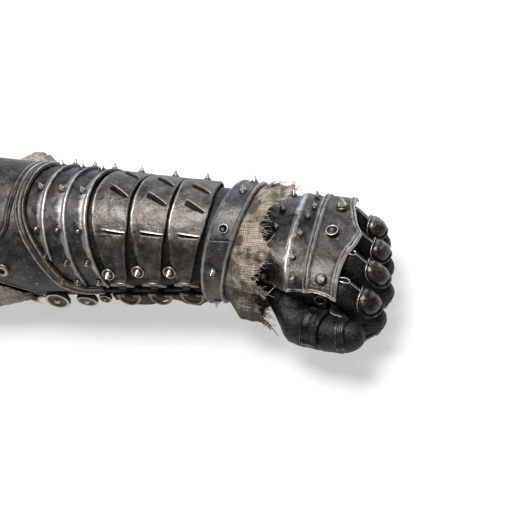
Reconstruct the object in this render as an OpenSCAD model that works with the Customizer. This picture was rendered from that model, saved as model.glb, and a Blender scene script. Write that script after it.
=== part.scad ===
// Left-hand gauntlet: a leather sleeve and glove under shingled steel plates,
// with a burlap lining, closed into a loose fist, palm down.
// X runs from the rear opening to the fist, Z points out of the back of the hand,
// and the thumb lies on the -Y side. Angles round the arm count from the top
// (0) towards the thumb side (90).

/* [Forearm] */
// Inner radius of the rear opening
mouth_r = 47.5; // [44:0.5:54]
// Length of the straight part of the rear opening
mouth_len = 18; // [10:1:30]
// Thickness of the sleeve leather
leather = 3; // [2:0.1:3.6]
// Length of the leather sleeve
arm_len = 206; // [196:1:226]
// Outer radius of the sleeve at the wrist
wrist_r = 36.7; // [35.5:0.1:39]

/* [Arm plates] */
// Thickness of the steel plates
plate = 1.2; // [0.9:0.1:1.4]
// Length of the rear elbow plate along the top
elbow_len = 62; // [56:1:68]
// Front edge of the first lame along the top
lame_x = 81; // [78:1:84]
// Distance from one lame to the next
lame_pitch = 15.5; // [14:0.5:16.5]
// Width of the double ridged border
border_w = 8; // [7:0.5:9]
// Gap between two scale plates along the top
scale_gap = 2.4; // [1.5:0.1:4]
// Width of the cuff along the top
cuff_w = 20; // [17:1:22]
// Radial height of the cuff over the sleeve
cuff_h = 4.6; // [4:0.1:5.2]

/* [Spikes and rivets] */
// Height of a lame spike
spike_h = 5; // [3:0.5:7]
// Radius of a lame spike
spike_r = 1.7; // [1.2:0.1:2]
// Radius of a closure stud's washer
washer_r = 4.2; // [3.5:0.1:5]
// Height of a closure stud
closure_h = 6; // [4:0.5:8]
// Radius of the hole in the point eyelet
eyelet_r = 2.2; // [1.8:0.1:2.6]

/* [Lacing rings] */
// Length of a D ring along its bar
ring_len = 16; // [14:0.5:17]
// Radius of the ring wire
ring_wire = 1.1; // [0.9:0.1:1.2]
// Distance from one D ring to the next
ring_pitch = 23.5; // [21:0.5:25]

/* [Hand] */
// Distance from the sleeve end to the wrist axis
wrist_gap = 20; // [18:1:22]
// Distance from the wrist axis to the knuckle line
palm_len = 71; // [69:1:74]
// Half width of the hand at the knuckles
hand_half = 42.5; // [42:0.5:44]
// Thickness of the glove leather
glove_t = 2; // [1.5:0.1:2.5]

/* [Fingers] */
// Distance from one finger to the next
finger_pitch = 21.6; // [21.4:0.1:22.2]
// Radius of a finger at its knuckle
knuckle_r = 11.2; // [10.8:0.1:11.4]
// Length of the middle finger's first segment
prox_len = 30; // [29:0.5:34]
// Length of a finger's second segment
mid_len = 24; // [22:0.5:26]
// Length of a finger's last segment
tip_len = 20; // [18:0.5:21]
// Bend at the knuckles in the fist
knuckle_bend = 50; // [40:1:56]
// Bend at the second joints in the fist
middle_bend = 95; // [80:1:98]
// Bend at the last joints in the fist
tip_bend = 40; // [30:1:42]

/* [Thumb] */
// Length of the thumb's first segment
thumb_len = 24.5; // [23:0.5:27]
// Length of the thumb's last segment
thumb_tip_len = 17; // [16:0.5:19]
// Radius of the thumb at its root
thumb_r = 13.6; // [12.6:0.1:13.8]

/* [Hidden] */
gap = 0.3;
round_fn = 48;

steel = [0.20, 0.20, 0.22];
brown_steel = [0.30, 0.26, 0.23];
bright_steel = [0.62, 0.60, 0.57];
black_leather = [0.09, 0.08, 0.08];
brown_leather = [0.22, 0.16, 0.11];
burlap = [0.60, 0.52, 0.42];

// Hermite curve through [place, value] pairs, read at a place
function pair(t, i) = t[max(0, min(len(t) - 1, i))];
function slope(t, i) = let (a = pair(t, i - 1), b = pair(t, i + 1)) (b[1] - a[1]) / (b[0] - a[0]);
function span(t, x, i = 0) = i >= len(t) - 2 || x < t[i + 1][0] ? i : span(t, x, i + 1);
function blend_at(a, b, ma, mb, u) =
  a * (2 * u * u * u - 3 * u * u + 1) + ma * (u * u * u - 2 * u * u + u)
  + b * (3 * u * u - 2 * u * u * u) + mb * (u * u * u - u * u);
function read(t, x) =
  let (i = span(t, x), a = t[i], b = t[i + 1], w = b[0] - a[0])
  blend_at(a[1], b[1], slope(t, i) * w, slope(t, i + 1) * w, max(0, min(1, (x - a[0]) / w)));
// The same kind of curve through points, at u counted in points
function point(t, i) = t[max(0, min(len(t) - 1, i))];
function along(t, u) =
  let (i = max(0, min(len(t) - 2, floor(u))), a = point(t, i - 1), b = t[i], c = t[i + 1], d = point(t, i + 2))
  blend_at(b, c, (c - a) / 2, (d - b) / 2, u - i);
function mix(a, b, u) = a + (b - a) * u;
function hump(x, from, to) = x <= from || x >= to ? 0 : pow(sin(180 * (x - from) / (to - from)), 2);
function steps(from, to, n) = [for (i = [0 : n]) mix(from, to, i / n)];

// Solids through rings of points. Faces are turned outwards whichever way the rings run.
function grid_faces(m, n, wrap) =
  [for (i = [0 : m - (wrap ? 1 : 2)], j = [0 : n - 1])
    let (a = i * n + j, b = i * n + (j + 1) % n, k = (i + 1) % m, c = k * n + (j + 1) % n, d = k * n + j)
    each [[a, b, c], [a, c, d]]];
function strip_cap(first, n, turned) =
  [for (i = [0 : n / 2 - 2])
    let (a = first + i, b = first + i + 1, c = first + n - 2 - i, d = first + n - 1 - i)
    each turned ? [[a, b, c], [a, c, d]] : [[c, b, a], [d, c, a]]];
function fan_cap(first, n, hub, turned) =
  [for (i = [0 : n - 1]) turned ? [hub, first + i, first + (i + 1) % n] : [hub, first + (i + 1) % n, first + i]];
function middle_of(ring) = [for (k = [0 : 2]) [for (p = ring) p[k]] * [for (p = ring) 1]] / len(ring);
module solid(points, faces) {
  volumes = [for (f = faces) points[f[0]] * cross(points[f[1]], points[f[2]])];
  outward = volumes * [for (v = volumes) 1] < 0;
  polyhedron(points, outward ? faces : [for (f = faces) [f[2], f[1], f[0]]], convexity = 8);
}
// A strip: each ring is a cross section, its top points and then its bottom points backwards
module strip(rings) {
  n = len(rings[0]);
  m = len(rings);
  solid([for (r = rings) each r],
    concat(grid_faces(m, n, false), strip_cap(0, n, false), strip_cap((m - 1) * n, n, true)));
}
// A ring-shaped solid, closed both ways
module hoop_solid(rings) {
  solid([for (r = rings) each r], grid_faces(len(rings), len(rings[0]), true));
}
// A solid through round sections, closed at both ends
module capsule(rings) {
  n = len(rings[0]);
  m = len(rings);
  solid(concat([for (r = rings) each r], [middle_of(rings[0]), middle_of(rings[m - 1])]),
    concat(grid_faces(m, n, false), fan_cap(0, n, m * n, false), fan_cap((m - 1) * n, n, m * n + 1, true)));
}

// Arm surface
mouth_outer = mouth_r + leather;
arm_slope = (mouth_outer - wrist_r) / arm_len;
function arm_r(x) = mouth_outer - arm_slope * x;
function arm_point(x, a, h) = let (r = arm_r(x) + h) [x, -r * sin(a), r * cos(a)];
module on_arm(x, a, h) {
  translate(arm_point(x, a, h)) rotate([a, 0, 0]) children();
}
// A plate across the arm: stations are [share of the width, offset, top, bottom]
function plate_ring(xl, xr, a, stations) = concat(
  [for (s = stations) arm_point(mix(xl, xr, s[0]) + s[1], a, s[2])],
  [for (i = [len(stations) - 1 : -1 : 0]) let (s = stations[i]) arm_point(mix(xl, xr, s[0]) + s[1], a, s[3])]);

// Edges of the arm plates, by angle
far_edge = -108;
closure_a = 86.4;
elbow_low = 80;
elbow_far = -55;
elbow_turn = elbow_far + 36;
function elbow_front(a) = min(read(border_edge, a) - border_w / 2 - gap, elbow_len + 1)
  - (elbow_len - 8) * pow(max(0, (a - elbow_turn) / (elbow_low - elbow_turn)), 3.5);
hem_a0 = 60;
hem_rate = 0.63;
under_low = 102;
function hem_x(a) = max(0, (a - hem_a0) / hem_rate);
border_path = [for (p = [[11, far_edge - 4], [-1, -93], [-10, -68], [-15, -43], [-18, -18], [-19, 8], [-17, 26],
  [-11, 43], [-3, 59], [5, 75], [13, 89], [25, 97], [39, 97]]) [lame_x + p[0], p[1]]];
border_edge = [for (i = [0 : 10]) [border_path[i][1], border_path[i][0]]];
lame_lean = 14;
function lame_front(k, a) = lame_x + (k - 1) * lame_pitch + lame_lean * (1 - cos(a));
lame_step = 2.2;
lame_thin = plate - 0.1;

// Shingled section of a lame: low at the rear, raised with a bead at the front
lame_low = 0.9;
lame_section = let (t = lame_thin, lo = lame_low + t, hi = lame_low + t + lame_step)
  [[0, 0, lo, lo - t], [0.5, -2, mix(lo, hi, 0.5), mix(lo, hi, 0.5) - t], [1, -3.4, hi - 0.3, hi - 0.3 - t],
   [1, -2.6, hi + 0.9, hi - 0.2 - t], [1, -0.9, hi + 0.9, hi - t], [1, 0, hi + 0.1, hi - t]];
lame_tuck = 6;
lame_ends = [63, 89, 91];

// Scale plates
zone_from = lame_x + 2 * lame_pitch;
zone_to = arm_len - 7;
scale_w = (zone_to - zone_from - 3 * scale_gap) / 3;
scale_leans = [8, 3, -5];
scale_narrow = [[far_edge, 0.5], [-80, 0.72], [-45, 0.96], [-20, 1], [25, 1], [48, 0.78], [70, 0.55],
  [closure_a, 0.34]];
function scale_mid(k, a) = zone_from + scale_gap * 1.2 + (k - 0.5) * scale_w + (k - 1) * scale_gap
  + scale_leans[k - 1] * pow(1 - cos(a), 0.7);
scale_crown = [[-1, 2.4], [-0.9, 3.4], [-0.78, 3.5], [-0.6, 3.5], [0, 4.1], [0.6, 3.7], [0.9, 3.3], [1, 2.3]];
function scale_top(t) = lookup(t, scale_crown);

// Cuff edges, by angle
cuff_rear = arm_len + 1;
function cuff_left(a) = cuff_rear - 4.6 * (1 - cos(a)) - 9 * sin(a);
function cuff_right(a) = cuff_rear + cuff_w - 10 * (1 - cos(a)) - 7 * sin(a);
seam_a = 39;
cuff_section = let (h = cuff_h, t = plate)
  [[0, 0, h + 1.2, h], [0, 0.7, h + t + 1.3, h], [0, 2.1, h + t + 1.3, h], [0, 2.9, h + t, h],
   [1, -3.4, h + t, h], [1, -2.6, h + t + 1.6, h], [1, -0.9, h + t + 1.6, h], [1, 0, h + 1.3, h]];

module sleeve() {
  color(black_leather)
  difference() {
    rotate([0, 90, 0]) rotate_extrude($fn = 96)
      polygon([[mouth_r, 0], [mouth_outer, 0], [wrist_r, arm_len], [wrist_r - leather, arm_len], [mouth_r, mouth_len]]);
    rotate([0, 90, 0]) rotate([0, 0, 180 + slot_from])
      rotate_extrude(angle = slot_to - slot_from, $fn = 96)
      translate([wrist_r / 2, slot_x]) square([mouth_outer, arm_len]);
    on_arm(point_x, point_a, 0) cylinder(h = 12, r = eyelet_r, center = true, $fn = round_fn);
  }
}
slot_x = lame_x + 10;
slot_from = 94;
slot_to = 106;

module tongue() {
  depth = -leather - 1.4;
  thin = 1.5;
  color(brown_leather)
  strip([for (a = steps(slot_from - 9, slot_to + 9, 6))
    plate_ring(slot_x - 6, arm_len - 9.6, a, [for (s = [0, 0.25, 0.5, 0.75, 1]) [s, 0, depth + thin, depth]])]);
}

// The cloth is bunched out from under the rear plates, on the thumb side and the far side
lining_from = 66;
lining_to = 360 + elbow_far - 5;
function lining_fold(x, a) =
  1.6 + 1.2 * pow(sin(3.1 * a + 2.2 * x), 2) + 5 * hump(a, 92, 150) * hump(x, -26, 66)
  + 10 * hump(a, 262, 340) * hump(x, 18, 78) + 1.1 * pow(cos(5 * a - 5 * x), 2);
module burlap_lining() {
  stations = steps(4, 62, 5);
  n = 38;
  function round_arm(x, i) = mix(max(elbow_low + 1, lining_from + hem_rate * x), lining_to, i / n);
  color(burlap)
  strip([for (i = [0 : n]) concat(
    [for (x = stations) let (a = round_arm(x, i)) arm_point(x, a, gap + lining_fold(x, a))],
    [for (k = [len(stations) - 1 : -1 : 0]) arm_point(stations[k], round_arm(stations[k], i), gap)])]);
}

// The beaded hem of the under plate, flat where the elbow plate lies over it
function under_section(a) = let (b = 0.9, t = plate, bead = a < 74 ? 0 : 0.8)
  [[0, 0, b + 0.8, b], [0, 0.8, b + t + bead, b], [0, 2, b + t + bead, b], [0, 2.8, b + t, b],
   [0.5, 0, b + t, b], [1, 0, b + t - 0.1, b]];
module under_plate() {
  color(steel)
  difference() {
    strip([for (a = concat(steps(elbow_far, hem_a0, 14), steps(hem_a0 + 6, under_low, 7)))
      plate_ring(hem_x(a), read(border_edge, a) - 1, a, under_section(a))]);
    on_arm(point_x, point_a, 0) cylinder(h = 12, r = eyelet_r, center = true, $fn = round_fn);
  }
}
point_x = 49;
point_a = 74;

elbow_section = let (b = 2.5, t = plate)
  [[0, 0, b + t, b], [0.5, -2, b + t, b], [1, -4.2, b + t, b], [1, -3.2, b + t + 1.7, b], [1, -1.1, b + t + 1.7, b],
   [1, 0, b + 0.7, b]];
module elbow_plate() {
  color(steel)
  strip([for (a = steps(elbow_far, elbow_low, 20)) plate_ring(0, elbow_front(a), a, elbow_section)]);
}

border_stations = [[-0.5, 3.3], [-0.42, 4.9], [-0.26, 5.2], [-0.12, 3.9], [0.08, 3.7], [0.24, 4.9], [0.4, 5.1],
  [0.5, 3.2]];
border_under = 2.5;
// A point at u along the border and a distance to its side, both measured on the arm
function border_at(u, side) =
  let (p = along(border_path, u), q = along(border_path, u + 0.05), o = along(border_path, u - 0.05),
    deg = 180 / PI / arm_r(p[0]), t = [q[0] - o[0], (q[1] - o[1]) / deg], n = [-t[1], t[0]] / norm(t))
  [p[0] + n[0] * side, p[1] + n[1] * side * deg];
function border_point(u, side, h) = let (p = border_at(u, side)) arm_point(p[0], p[1], h);
// Front side of the border, by angle
border_inside = [for (u = [0 : 0.5 : 11]) let (p = border_at(u, -border_w / 2 - gap)) [p[1], p[0]]];
module border_band() {
  n = 34;
  m = len(border_stations);
  color(brown_steel)
  strip([for (i = [0 : n]) let (u = i * (len(border_path) - 1) / n) concat(
    [for (s = border_stations) border_point(u, s[0] * border_w, s[1])],
    [for (k = [m - 1 : -1 : 0]) border_point(u, border_stations[k][0] * border_w, border_under)])]);
}

module lame(k) {
  color(steel)
  strip([for (a = steps(far_edge, lame_ends[k - 1], 20))
    let (rear = max(read(border_inside, a), k == 1 ? 0 : lame_front(k - 1, a) - lame_tuck))
    plate_ring(rear, lame_front(k, a), a, lame_section)]);
}
module lame_1() { lame(1); }
module lame_2() { lame(2); }
module lame_3() { lame(3); }

// A conical spike with a turned foot
module spike(r, h) {
  rotate_extrude($fn = round_fn) polygon([[0, 0], [r + 0.9, 0], [r + 0.9, 0.5], [r, 0.9], [0.25, h], [0, h]]);
}
// Height of a lame's top at a distance behind its front bead
function lame_height(back) = lame_low + lame_thin + lame_step * max(0, 1 - (back - 3) / (lame_pitch + lame_tuck));
lame_rows = [-57, -38, 0, 37, 65, 85];
module lame_spikes() {
  back = lame_pitch / 2 - 1.6;
  color(bright_steel)
  for (k = [1 : 3], a = lame_rows) if (a < lame_ends[k - 1] - 3)
    on_arm(lame_front(k, a) - back + (a > 80 ? 0.5 : 0), a, lame_height(back) + 0.4)
    spike(spike_r, a > 80 ? spike_h / 2 : spike_h);
}

module scale_plate(k) {
  color(brown_steel)
  strip([for (a = steps(far_edge, closure_a, 22))
    let (c = scale_mid(k, a), w = read(scale_narrow, a) * scale_w / 2)
    plate_ring(c - w, c + w, a, [for (s = scale_crown) [(s[0] + 1) / 2, 0, s[1], s[1] - plate]])]);
}
module scale_plate_1() { scale_plate(1); }
module scale_plate_2() { scale_plate(2); }
module scale_plate_3() { scale_plate(3); }

// Raised bars on the first scale plate, as [angle at the rear, angle at the front, added for each later plate]
louvre_angles = [[-40, -26, 7], [-12, 1, 5.3], [34, 36, 0]];
louvre_w = 2;
louvre_h = 1.5;
module louvre(k, turn) {
  strip([for (u = steps(0, 1, 3))
    let (a = mix(turn[0], turn[1], u) + (k - 1) * turn[2], t = mix(-0.4, 0.86, u), x = scale_mid(k, a) + t * scale_w / 2,
      h = scale_top(t) + 0.15, da = louvre_w / arm_r(x) * 90 / PI)
    [arm_point(x, a - da, h), arm_point(x, a - da * 0.3, h + louvre_h), arm_point(x, a + da * 0.5, h + louvre_h),
     arm_point(x, a + da, h)]]);
}
module plate_louvres() {
  color(bright_steel)
  for (k = [1 : 3], turn = louvre_angles) louvre(k, turn);
}

module closure_studs() {
  places = [[-0.48, 75, 1], [-0.7, 72, 2], [-0.7, 72, 3]];
  color(bright_steel)
  for (p = places) on_arm(scale_mid(p[2], p[1]) + p[0] * scale_w / 2, p[1], scale_top(p[0] + 0.15) + gap)
    rotate_extrude($fn = round_fn)
    polygon([[0, 0], [washer_r, 0], [washer_r + 0.3, 0.6], [washer_r - 0.3, 1.3], [washer_r - 1.1, 1.2],
      [washer_r - 1.4, 0.8], [0.3, closure_h], [0, closure_h]]);
}

ridge_a = -58;
module ridge_spikes() {
  color(bright_steel)
  for (k = [1 : 3]) on_arm(scale_mid(k, ridge_a), ridge_a, scale_crown[4][1] + 0.15) spike(spike_r, spike_h);
}

module cuff(from, to, n) {
  color(steel)
  strip([for (a = steps(from, to, n)) plate_ring(cuff_left(a), cuff_right(a), a, cuff_section)]);
}
seam_gap = 0.3;
far_seam = seam_a - 180;
module cuff_upper() { cuff(far_seam + seam_gap, seam_a - seam_gap, 16); }
module cuff_lower() { cuff(seam_a + seam_gap, far_seam + 360 - seam_gap, 16); }
module cuff_spikes() {
  color(bright_steel)
  for (a = [-48, -18, 28, 69, 118, -95])
    on_arm((cuff_left(a) + cuff_right(a)) / 2, a, cuff_h + plate + 0.15)
    spike(spike_r + 0.3, a == 28 ? spike_h / 3 : spike_h);
}

// Round bosses on the closure: a dished disc with a raised rim and a point
module boss(r) {
  rotate_extrude($fn = round_fn)
  polygon([[0, 0], [r * 0.7, 0], [r, 1.5], [r, 2.6], [r - 1.3, 2.6], [r * 0.62, 1.3], [r * 0.34, 1.5],
    [r * 0.2, 3.2], [0, 4]]);
}
module eyelet() {
  rotate_extrude($fn = round_fn)
  polygon([[eyelet_r, 0], [eyelet_r + 3, 0], [eyelet_r + 3, 0.8], [eyelet_r + 1.8, 2], [eyelet_r + 0.4, 2],
    [eyelet_r, 1.6]]);
}
boss_places = [[-2, 119, 9], [18, 127, 7.6], [34, 120, 4.6]];
module closure_bosses() {
  color(steel) {
    for (b = boss_places) on_arm(lame_x + b[0], b[1], 0.5) boss(b[2]);
    on_arm(point_x, point_a, 0.9 + plate + 0.25) eyelet();
  }
}

// Angles of the rings' bars on both sides of the lacing slot
upper_bar_a = 90.5;
lower_bar_a = 110;

// A strip of brown leather that bunches out below the lacing rings
flap_from = lower_bar_a + 6;
flap_to = flap_from + 42;
function flap_fold(x, a) = 0.5 + 6.5 * hump(a, flap_from - 4, flap_to) * (0.72 + 0.28 * sin(9 * x + 2 * a))
  + 0.6 * pow(sin(4 * x - 7 * a), 2);
module closure_flap() {
  from = slot_x + 30;
  to = arm_len - 16;
  color(brown_leather)
  strip([for (x = steps(from, to, 14)) concat(
    [for (a = steps(flap_from, flap_to, 8)) arm_point(x, a, gap + 1 + flap_fold(x, a))],
    [for (a = steps(flap_to, flap_from, 8)) arm_point(x, a, gap)])]);
}

// Lacing rings: a straight bar on the sleeve and a bow that swings about it
bar_h = ring_wire + gap + 1.6;
rest_tilt = 30;
// Where the scale plates grow wider or narrower with the arm, the rings spread or close with them
usual_plate_pitch = 29;
ring_step = ring_pitch + 0.6 * (scale_w + scale_gap - usual_plate_pitch);
function ring_x(k) = zone_to - 16.6 - (3 - k) * ring_step;
// Bar along X, bow in the plane of X and Z
module d_ring_shape() {
  bow = ring_len / 2;
  rotate([90, 0, 0]) rotate_extrude(angle = 180, $fn = round_fn) translate([bow, 0])
    circle(r = ring_wire, $fn = 24);
  translate([-bow - ring_wire, 0, 0]) rotate([0, 90, 0]) cylinder(h = ring_len + 2 * ring_wire, r = ring_wire, $fn = 24);
}
// The bow leans out of the arm by the tilt
module d_ring(k, upper) {
  a = upper ? upper_bar_a : lower_bar_a;
  color(steel)
  on_arm(ring_x(k), a, bar_h) rotate([upper ? rest_tilt - 90 : 90 - rest_tilt, 0, 0]) d_ring_shape();
}
module d_ring_1() { d_ring(1, true); }
module d_ring_2() { d_ring(2, true); }
module d_ring_3() { d_ring(3, true); }
module d_ring_4() { d_ring(1, false); }
module d_ring_5() { d_ring(2, false); }
module d_ring_6() { d_ring(3, false); }
clip_w = 5;
module ring_clip() {
  hole = ring_wire + gap;
  rotate([0, 90, 0]) difference() {
    union() {
      cylinder(h = clip_w, r = hole + 1.2, center = true, $fn = round_fn);
      translate([0, -hole - 1.2, -clip_w / 2]) cube([bar_h - gap, 2 * hole + 2.4, clip_w]);
    }
    cylinder(h = clip_w + 2, r = hole, center = true, $fn = round_fn);
  }
}
module ring_clips() {
  color(brown_leather)
  for (k = [1 : 3], a = [upper_bar_a, lower_bar_a]) on_arm(ring_x(k), a, bar_h) ring_clip();
}

// Burlap skirt that comes out from under the cuff and frays over the wrist
ruff_edge = [[-180, 224], [-150, 228], [-120, 236], [-90, 240], [-70, 238], [-52, 250], [-40, 243], [-20, 248],
  [0, 243], [15, 240], [34, 243], [46, 246], [58, 240], [75, 236], [90, 239], [104, 231], [118, 236], [135, 228],
  [158, 232], [180, 224]];
function ruff_end(a) = wrist_x - 226 + read(ruff_edge, a);
ruff_flare = 0.2;
ruff_top = cuff_h - gap;
ruff_t = 1.6;
// Places along the skirt, from under the cuff to the frayed edge
function ruff_xs(a) = let (edge = cuff_right(a), end = ruff_end(a))
  [cuff_left(a) + 4, edge - 1, edge + 0.5, mix(edge, end, 0.55), end];
// Outer radius of the skirt: it opens out beyond the cuff, in folds that deepen towards the edge,
// and it stands further out over the root of the thumb
function ruff_r(x, a) = let (past = max(0, x - cuff_right(a) - 0.5))
  arm_r(min(x, cuff_right(a))) + ruff_top + past * ruff_flare + min(1, past / 14)
  * (1.6 * sin(7 * a + 40) + 1.1 * sin(11 * a) + 4.5 * hump(a, 40, 160) + 4.5 * hump(a, 85, 180) + 2 * hump(abs(a), 110, 250));
function ruff_point(x, a, inward) = let (r = ruff_r(x, a) - inward) [x, -r * sin(a), r * cos(a)];
module burlap_ruff() {
  n = 44;
  color(burlap)
  hoop_solid([for (i = [0 : n - 1]) let (a = -180 + i * 360 / n, xs = ruff_xs(a), last = len(xs) - 1) concat(
    [for (x = xs) ruff_point(x, a, 0)],
    [for (k = [last : -1 : 0]) ruff_point(xs[k], a, k == 0 ? ruff_top - gap : ruff_t)])]);
}

// Hand surface: a rounded box section that shifts towards the thumb side and down
wrist_x = arm_len + wrist_gap;
knuckle_x = wrist_x + palm_len;
squareness = 2 / 2.8;
hand_drop = -6;
wrist_half = 31;
wrist_thick = 24;
knuckle_thick = 17.5;
palm_thick = 13;
function share(x) = (x - wrist_x) / palm_len;
function hand_mid(x) = hand_drop * max(0, min(1, share(x)));
wide_table = [[-0.2, wrist_half - 2], [0, wrist_half], [0.2, mix(wrist_half, hand_half, 0.36)],
  [0.46, mix(wrist_half, hand_half, 0.78)], [0.78, hand_half], [1, hand_half]];
high_table = [[-0.2, wrist_thick + 1], [0, wrist_thick], [0.2, mix(wrist_thick, knuckle_thick, 0.36)],
  [0.46, mix(wrist_thick, knuckle_thick, 0.62)], [0.78, mix(wrist_thick, knuckle_thick, 0.92)], [1, knuckle_thick]];
low_table = [[-0.2, wrist_thick + 1], [0, wrist_thick], [0.4, mix(wrist_thick, palm_thick, 0.6)],
  [0.8, palm_thick], [1, palm_thick]];
function hand_wide(x) = read(wide_table, share(x));
function hand_high(x) = read(high_table, share(x));
function hand_low(x) = read(low_table, share(x));
function bent(v) = sign(v) * pow(abs(v), squareness);
function hand_point(x, t, h) =
  let (b = cos(t) > 0 ? hand_high(x) : hand_low(x))
  [x, hand_mid(x) - (hand_wide(x) + h) * bent(sin(t)), hand_mid(x) + (b + h) * bent(cos(t))];
thumb_at = [wrist_x + 46, -hand_half - 14, -20];
// The root of the thumb is a tapering round limb that leaves the palm's side and ends behind
// the thumb. Its centre line and radius are read by the distance in front of the wrist axis.
root_end = 29;
root_y = [[-6, -12], [8, -26], [20, -43], [root_end, thumb_at[1] + 1]];
root_z = [[-6, -9], [8, -12.5], [20, -17], [root_end, thumb_at[2]]];
root_radius = [[-6, 12], [8, 14], [20, thumb_r + 0.8], [root_end, thumb_r + 0.3]];
root_first_r = 11;
// In front of that end the heel of the palm is a lower and thinner roll, clear of the thumb
heel_y = [[root_end, -33.5], [60, -35]];
heel_z = -15;
heel_radius = [[root_end, thumb_r - 6], [60, thumb_r - 5]];
// Distance at which a line at the angle d from the middle of the hand leaves a circle
function reach(centre, r, d) = let (far = centre * d, off = centre * centre - far * far)
  off > r * r ? 0 : far + sqrt(r * r - off);
function root_reach(x, h, d) = let (s = x - wrist_x, m = hand_mid(x), behind = s <= root_end,
    r = read(behind ? root_radius : heel_radius, s),
    c = behind ? [read(root_y, s), read(root_z, s)] : [read(heel_y, s), heel_z])
  max([for (u = [0.25 : 0.25 : 1]) reach((c - [m, m]) * u, mix(root_first_r, r, u) + h, d)]);
function skin_point(x, t, h) =
  let (p = hand_point(x, t, h), m = hand_mid(x), q = [p[1] - m, p[2] - m], d = q / norm(q))
  t < 84 || t > 184 ? p
    : let (r = max(norm(q), root_reach(x, h, d))) [x, m + d[0] * r, m + d[1] * r];
glove_front = knuckle_x - knuckle_r - 1;
bend_from = wrist_x + 43;
hand_angles = [for (t = [0 : 15 : 60]) t, for (t = [70 : 8 : 166]) t, 171, 176, for (t = [182 : 15 : 347]) t];
function hand_ring(x, h, back = 0) = [for (t = hand_angles)
  let (p = skin_point(x - back, t, h)) [p[0] + knuckle_back(p[1]) * max(0, x - bend_from) / (glove_front - bend_from), p[1], p[2]]];
module glove_hand() {
  outs = concat([for (d = [-12, -4, 3, 9, 15, 20, 24, 27, root_end, root_end + 1.4, 36]) wrist_x + d],
    [mix(wrist_x + 36, glove_front, 0.5), glove_front]);
  last = len(outs) - 1;
  color(black_leather)
  difference() {
    hoop_solid(concat([for (x = outs) hand_ring(x, 0)],
      [for (i = [last : -1 : 0]) hand_ring(outs[i], -glove_t, i == 0 || i == last ? 0 : glove_t + 0.4)]));
    thumb_place() rotate([0, 90, 0]) cylinder(h = 2 * thumb_r, r = thumb_r - glove_t - 1, center = true, $fn = 32);
  }
}
// Soft leather between the sleeve and the glove, which folds as the wrist bends
module wrist_gusset() {
  thin = 1.2;
  function round_ring(x, r) = [for (t = hand_angles) [x, -r * sin(t), r * cos(t)]];
  inner = wrist_r - leather - gap;
  function hand_row(x, h) = [for (t = hand_angles) hand_point(x, t, h)];
  color(black_leather)
  hoop_solid([round_ring(arm_len - 9, inner + arm_slope * 4), round_ring(arm_len, inner),
    hand_row(wrist_x - 13, gap + thin + 0.6), hand_row(wrist_x - 6, gap + thin), hand_row(wrist_x - 6, gap),
    hand_row(wrist_x - 13, gap + 0.4), round_ring(arm_len, inner - thin), round_ring(arm_len - 9, inner - thin)]);
}

// Hand plates: stations are [share, offset, top, bottom]
function hand_band(xl, xr, t, stations) = concat(
  [for (s = stations) hand_point(mix(xl, xr, s[0]) + s[1], t, s[2])],
  [for (i = [len(stations) - 1 : -1 : 0]) let (s = stations[i]) hand_point(mix(xl, xr, s[0]) + s[1], t, s[3])]);
plate_far = -76;
wrist_front = 33;
middle_rear = 27;
middle_front = 49;
hand_rear = 42;
function scallop(t, deep) = deep * pow(max(0, (t - 40) / 35), 2);
module wrist_lame() {
  color(brown_steel)
  strip([for (t = steps(plate_far, 84, 15))
    hand_band(wrist_x + 5 + scallop(t, 2), wrist_x + wrist_front - scallop(t, 3), t,
      [for (s = [0, 0.34, 0.67, 1]) [s, 0, 1 + plate, 1]])]);
}
middle_section = let (t = plate, up = 1 + plate + gap)
  [[0, 0, up + t - 0.4, up], [0, 0.9, up + t + 0.5, up], [0, 2.4, up + t + 0.5, up], [0, 3.4, up + t - 0.1, up],
   [0.62, 0, 1.3 + t, 1.3], [1, 0, 1 + t, 1]];
module middle_lame() {
  color(brown_steel)
  strip([for (t = steps(plate_far, 79, 15))
    hand_band(wrist_x + middle_rear + scallop(t, 1), wrist_x + middle_front - scallop(t, 2), t, middle_section)]);
}
plate_edge = [[-76, -7], [-37, -5.5], [-25, -3], [-13, 0], [-8, 2.5], [-4, 5], [0, 3], [6, -0.5], [15, -2.5],
  [30, -4], [47, -4.5], [70, -5]];
hand_section = let (t = plate, up = 1 + plate + gap)
  [[0, 0, up + t - 0.4, up], [0, 0.7, up + t + 1.2, up], [0, 1.7, up + t + 1.3, up], [0, 2.3, up + t + 0.6, up],
   [0, 3.1, up + t + 1, up], [0, 4.1, up + t, up], [0.5, 0, up + t, up], [1, -4.4, up + t, up],
   [1, -3.4, up + t + 1.3, up], [1, -2.2, up + t + 1.2, up], [1, -1.7, up + t + 0.7, up], [1, -0.9, up + t + 1, up],
   [1, 0, up + t - 0.6, up]];
module hand_plate() {
  color(steel)
  strip([for (t = [-76, -60, -46, -34, -24, -16, -10, -7, -4, -1, 3, 8, 15, 25, 36, 48, 58, 68])
    hand_band(wrist_x + hand_rear, knuckle_x + read(plate_edge, t), t, hand_section)]);
}
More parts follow.
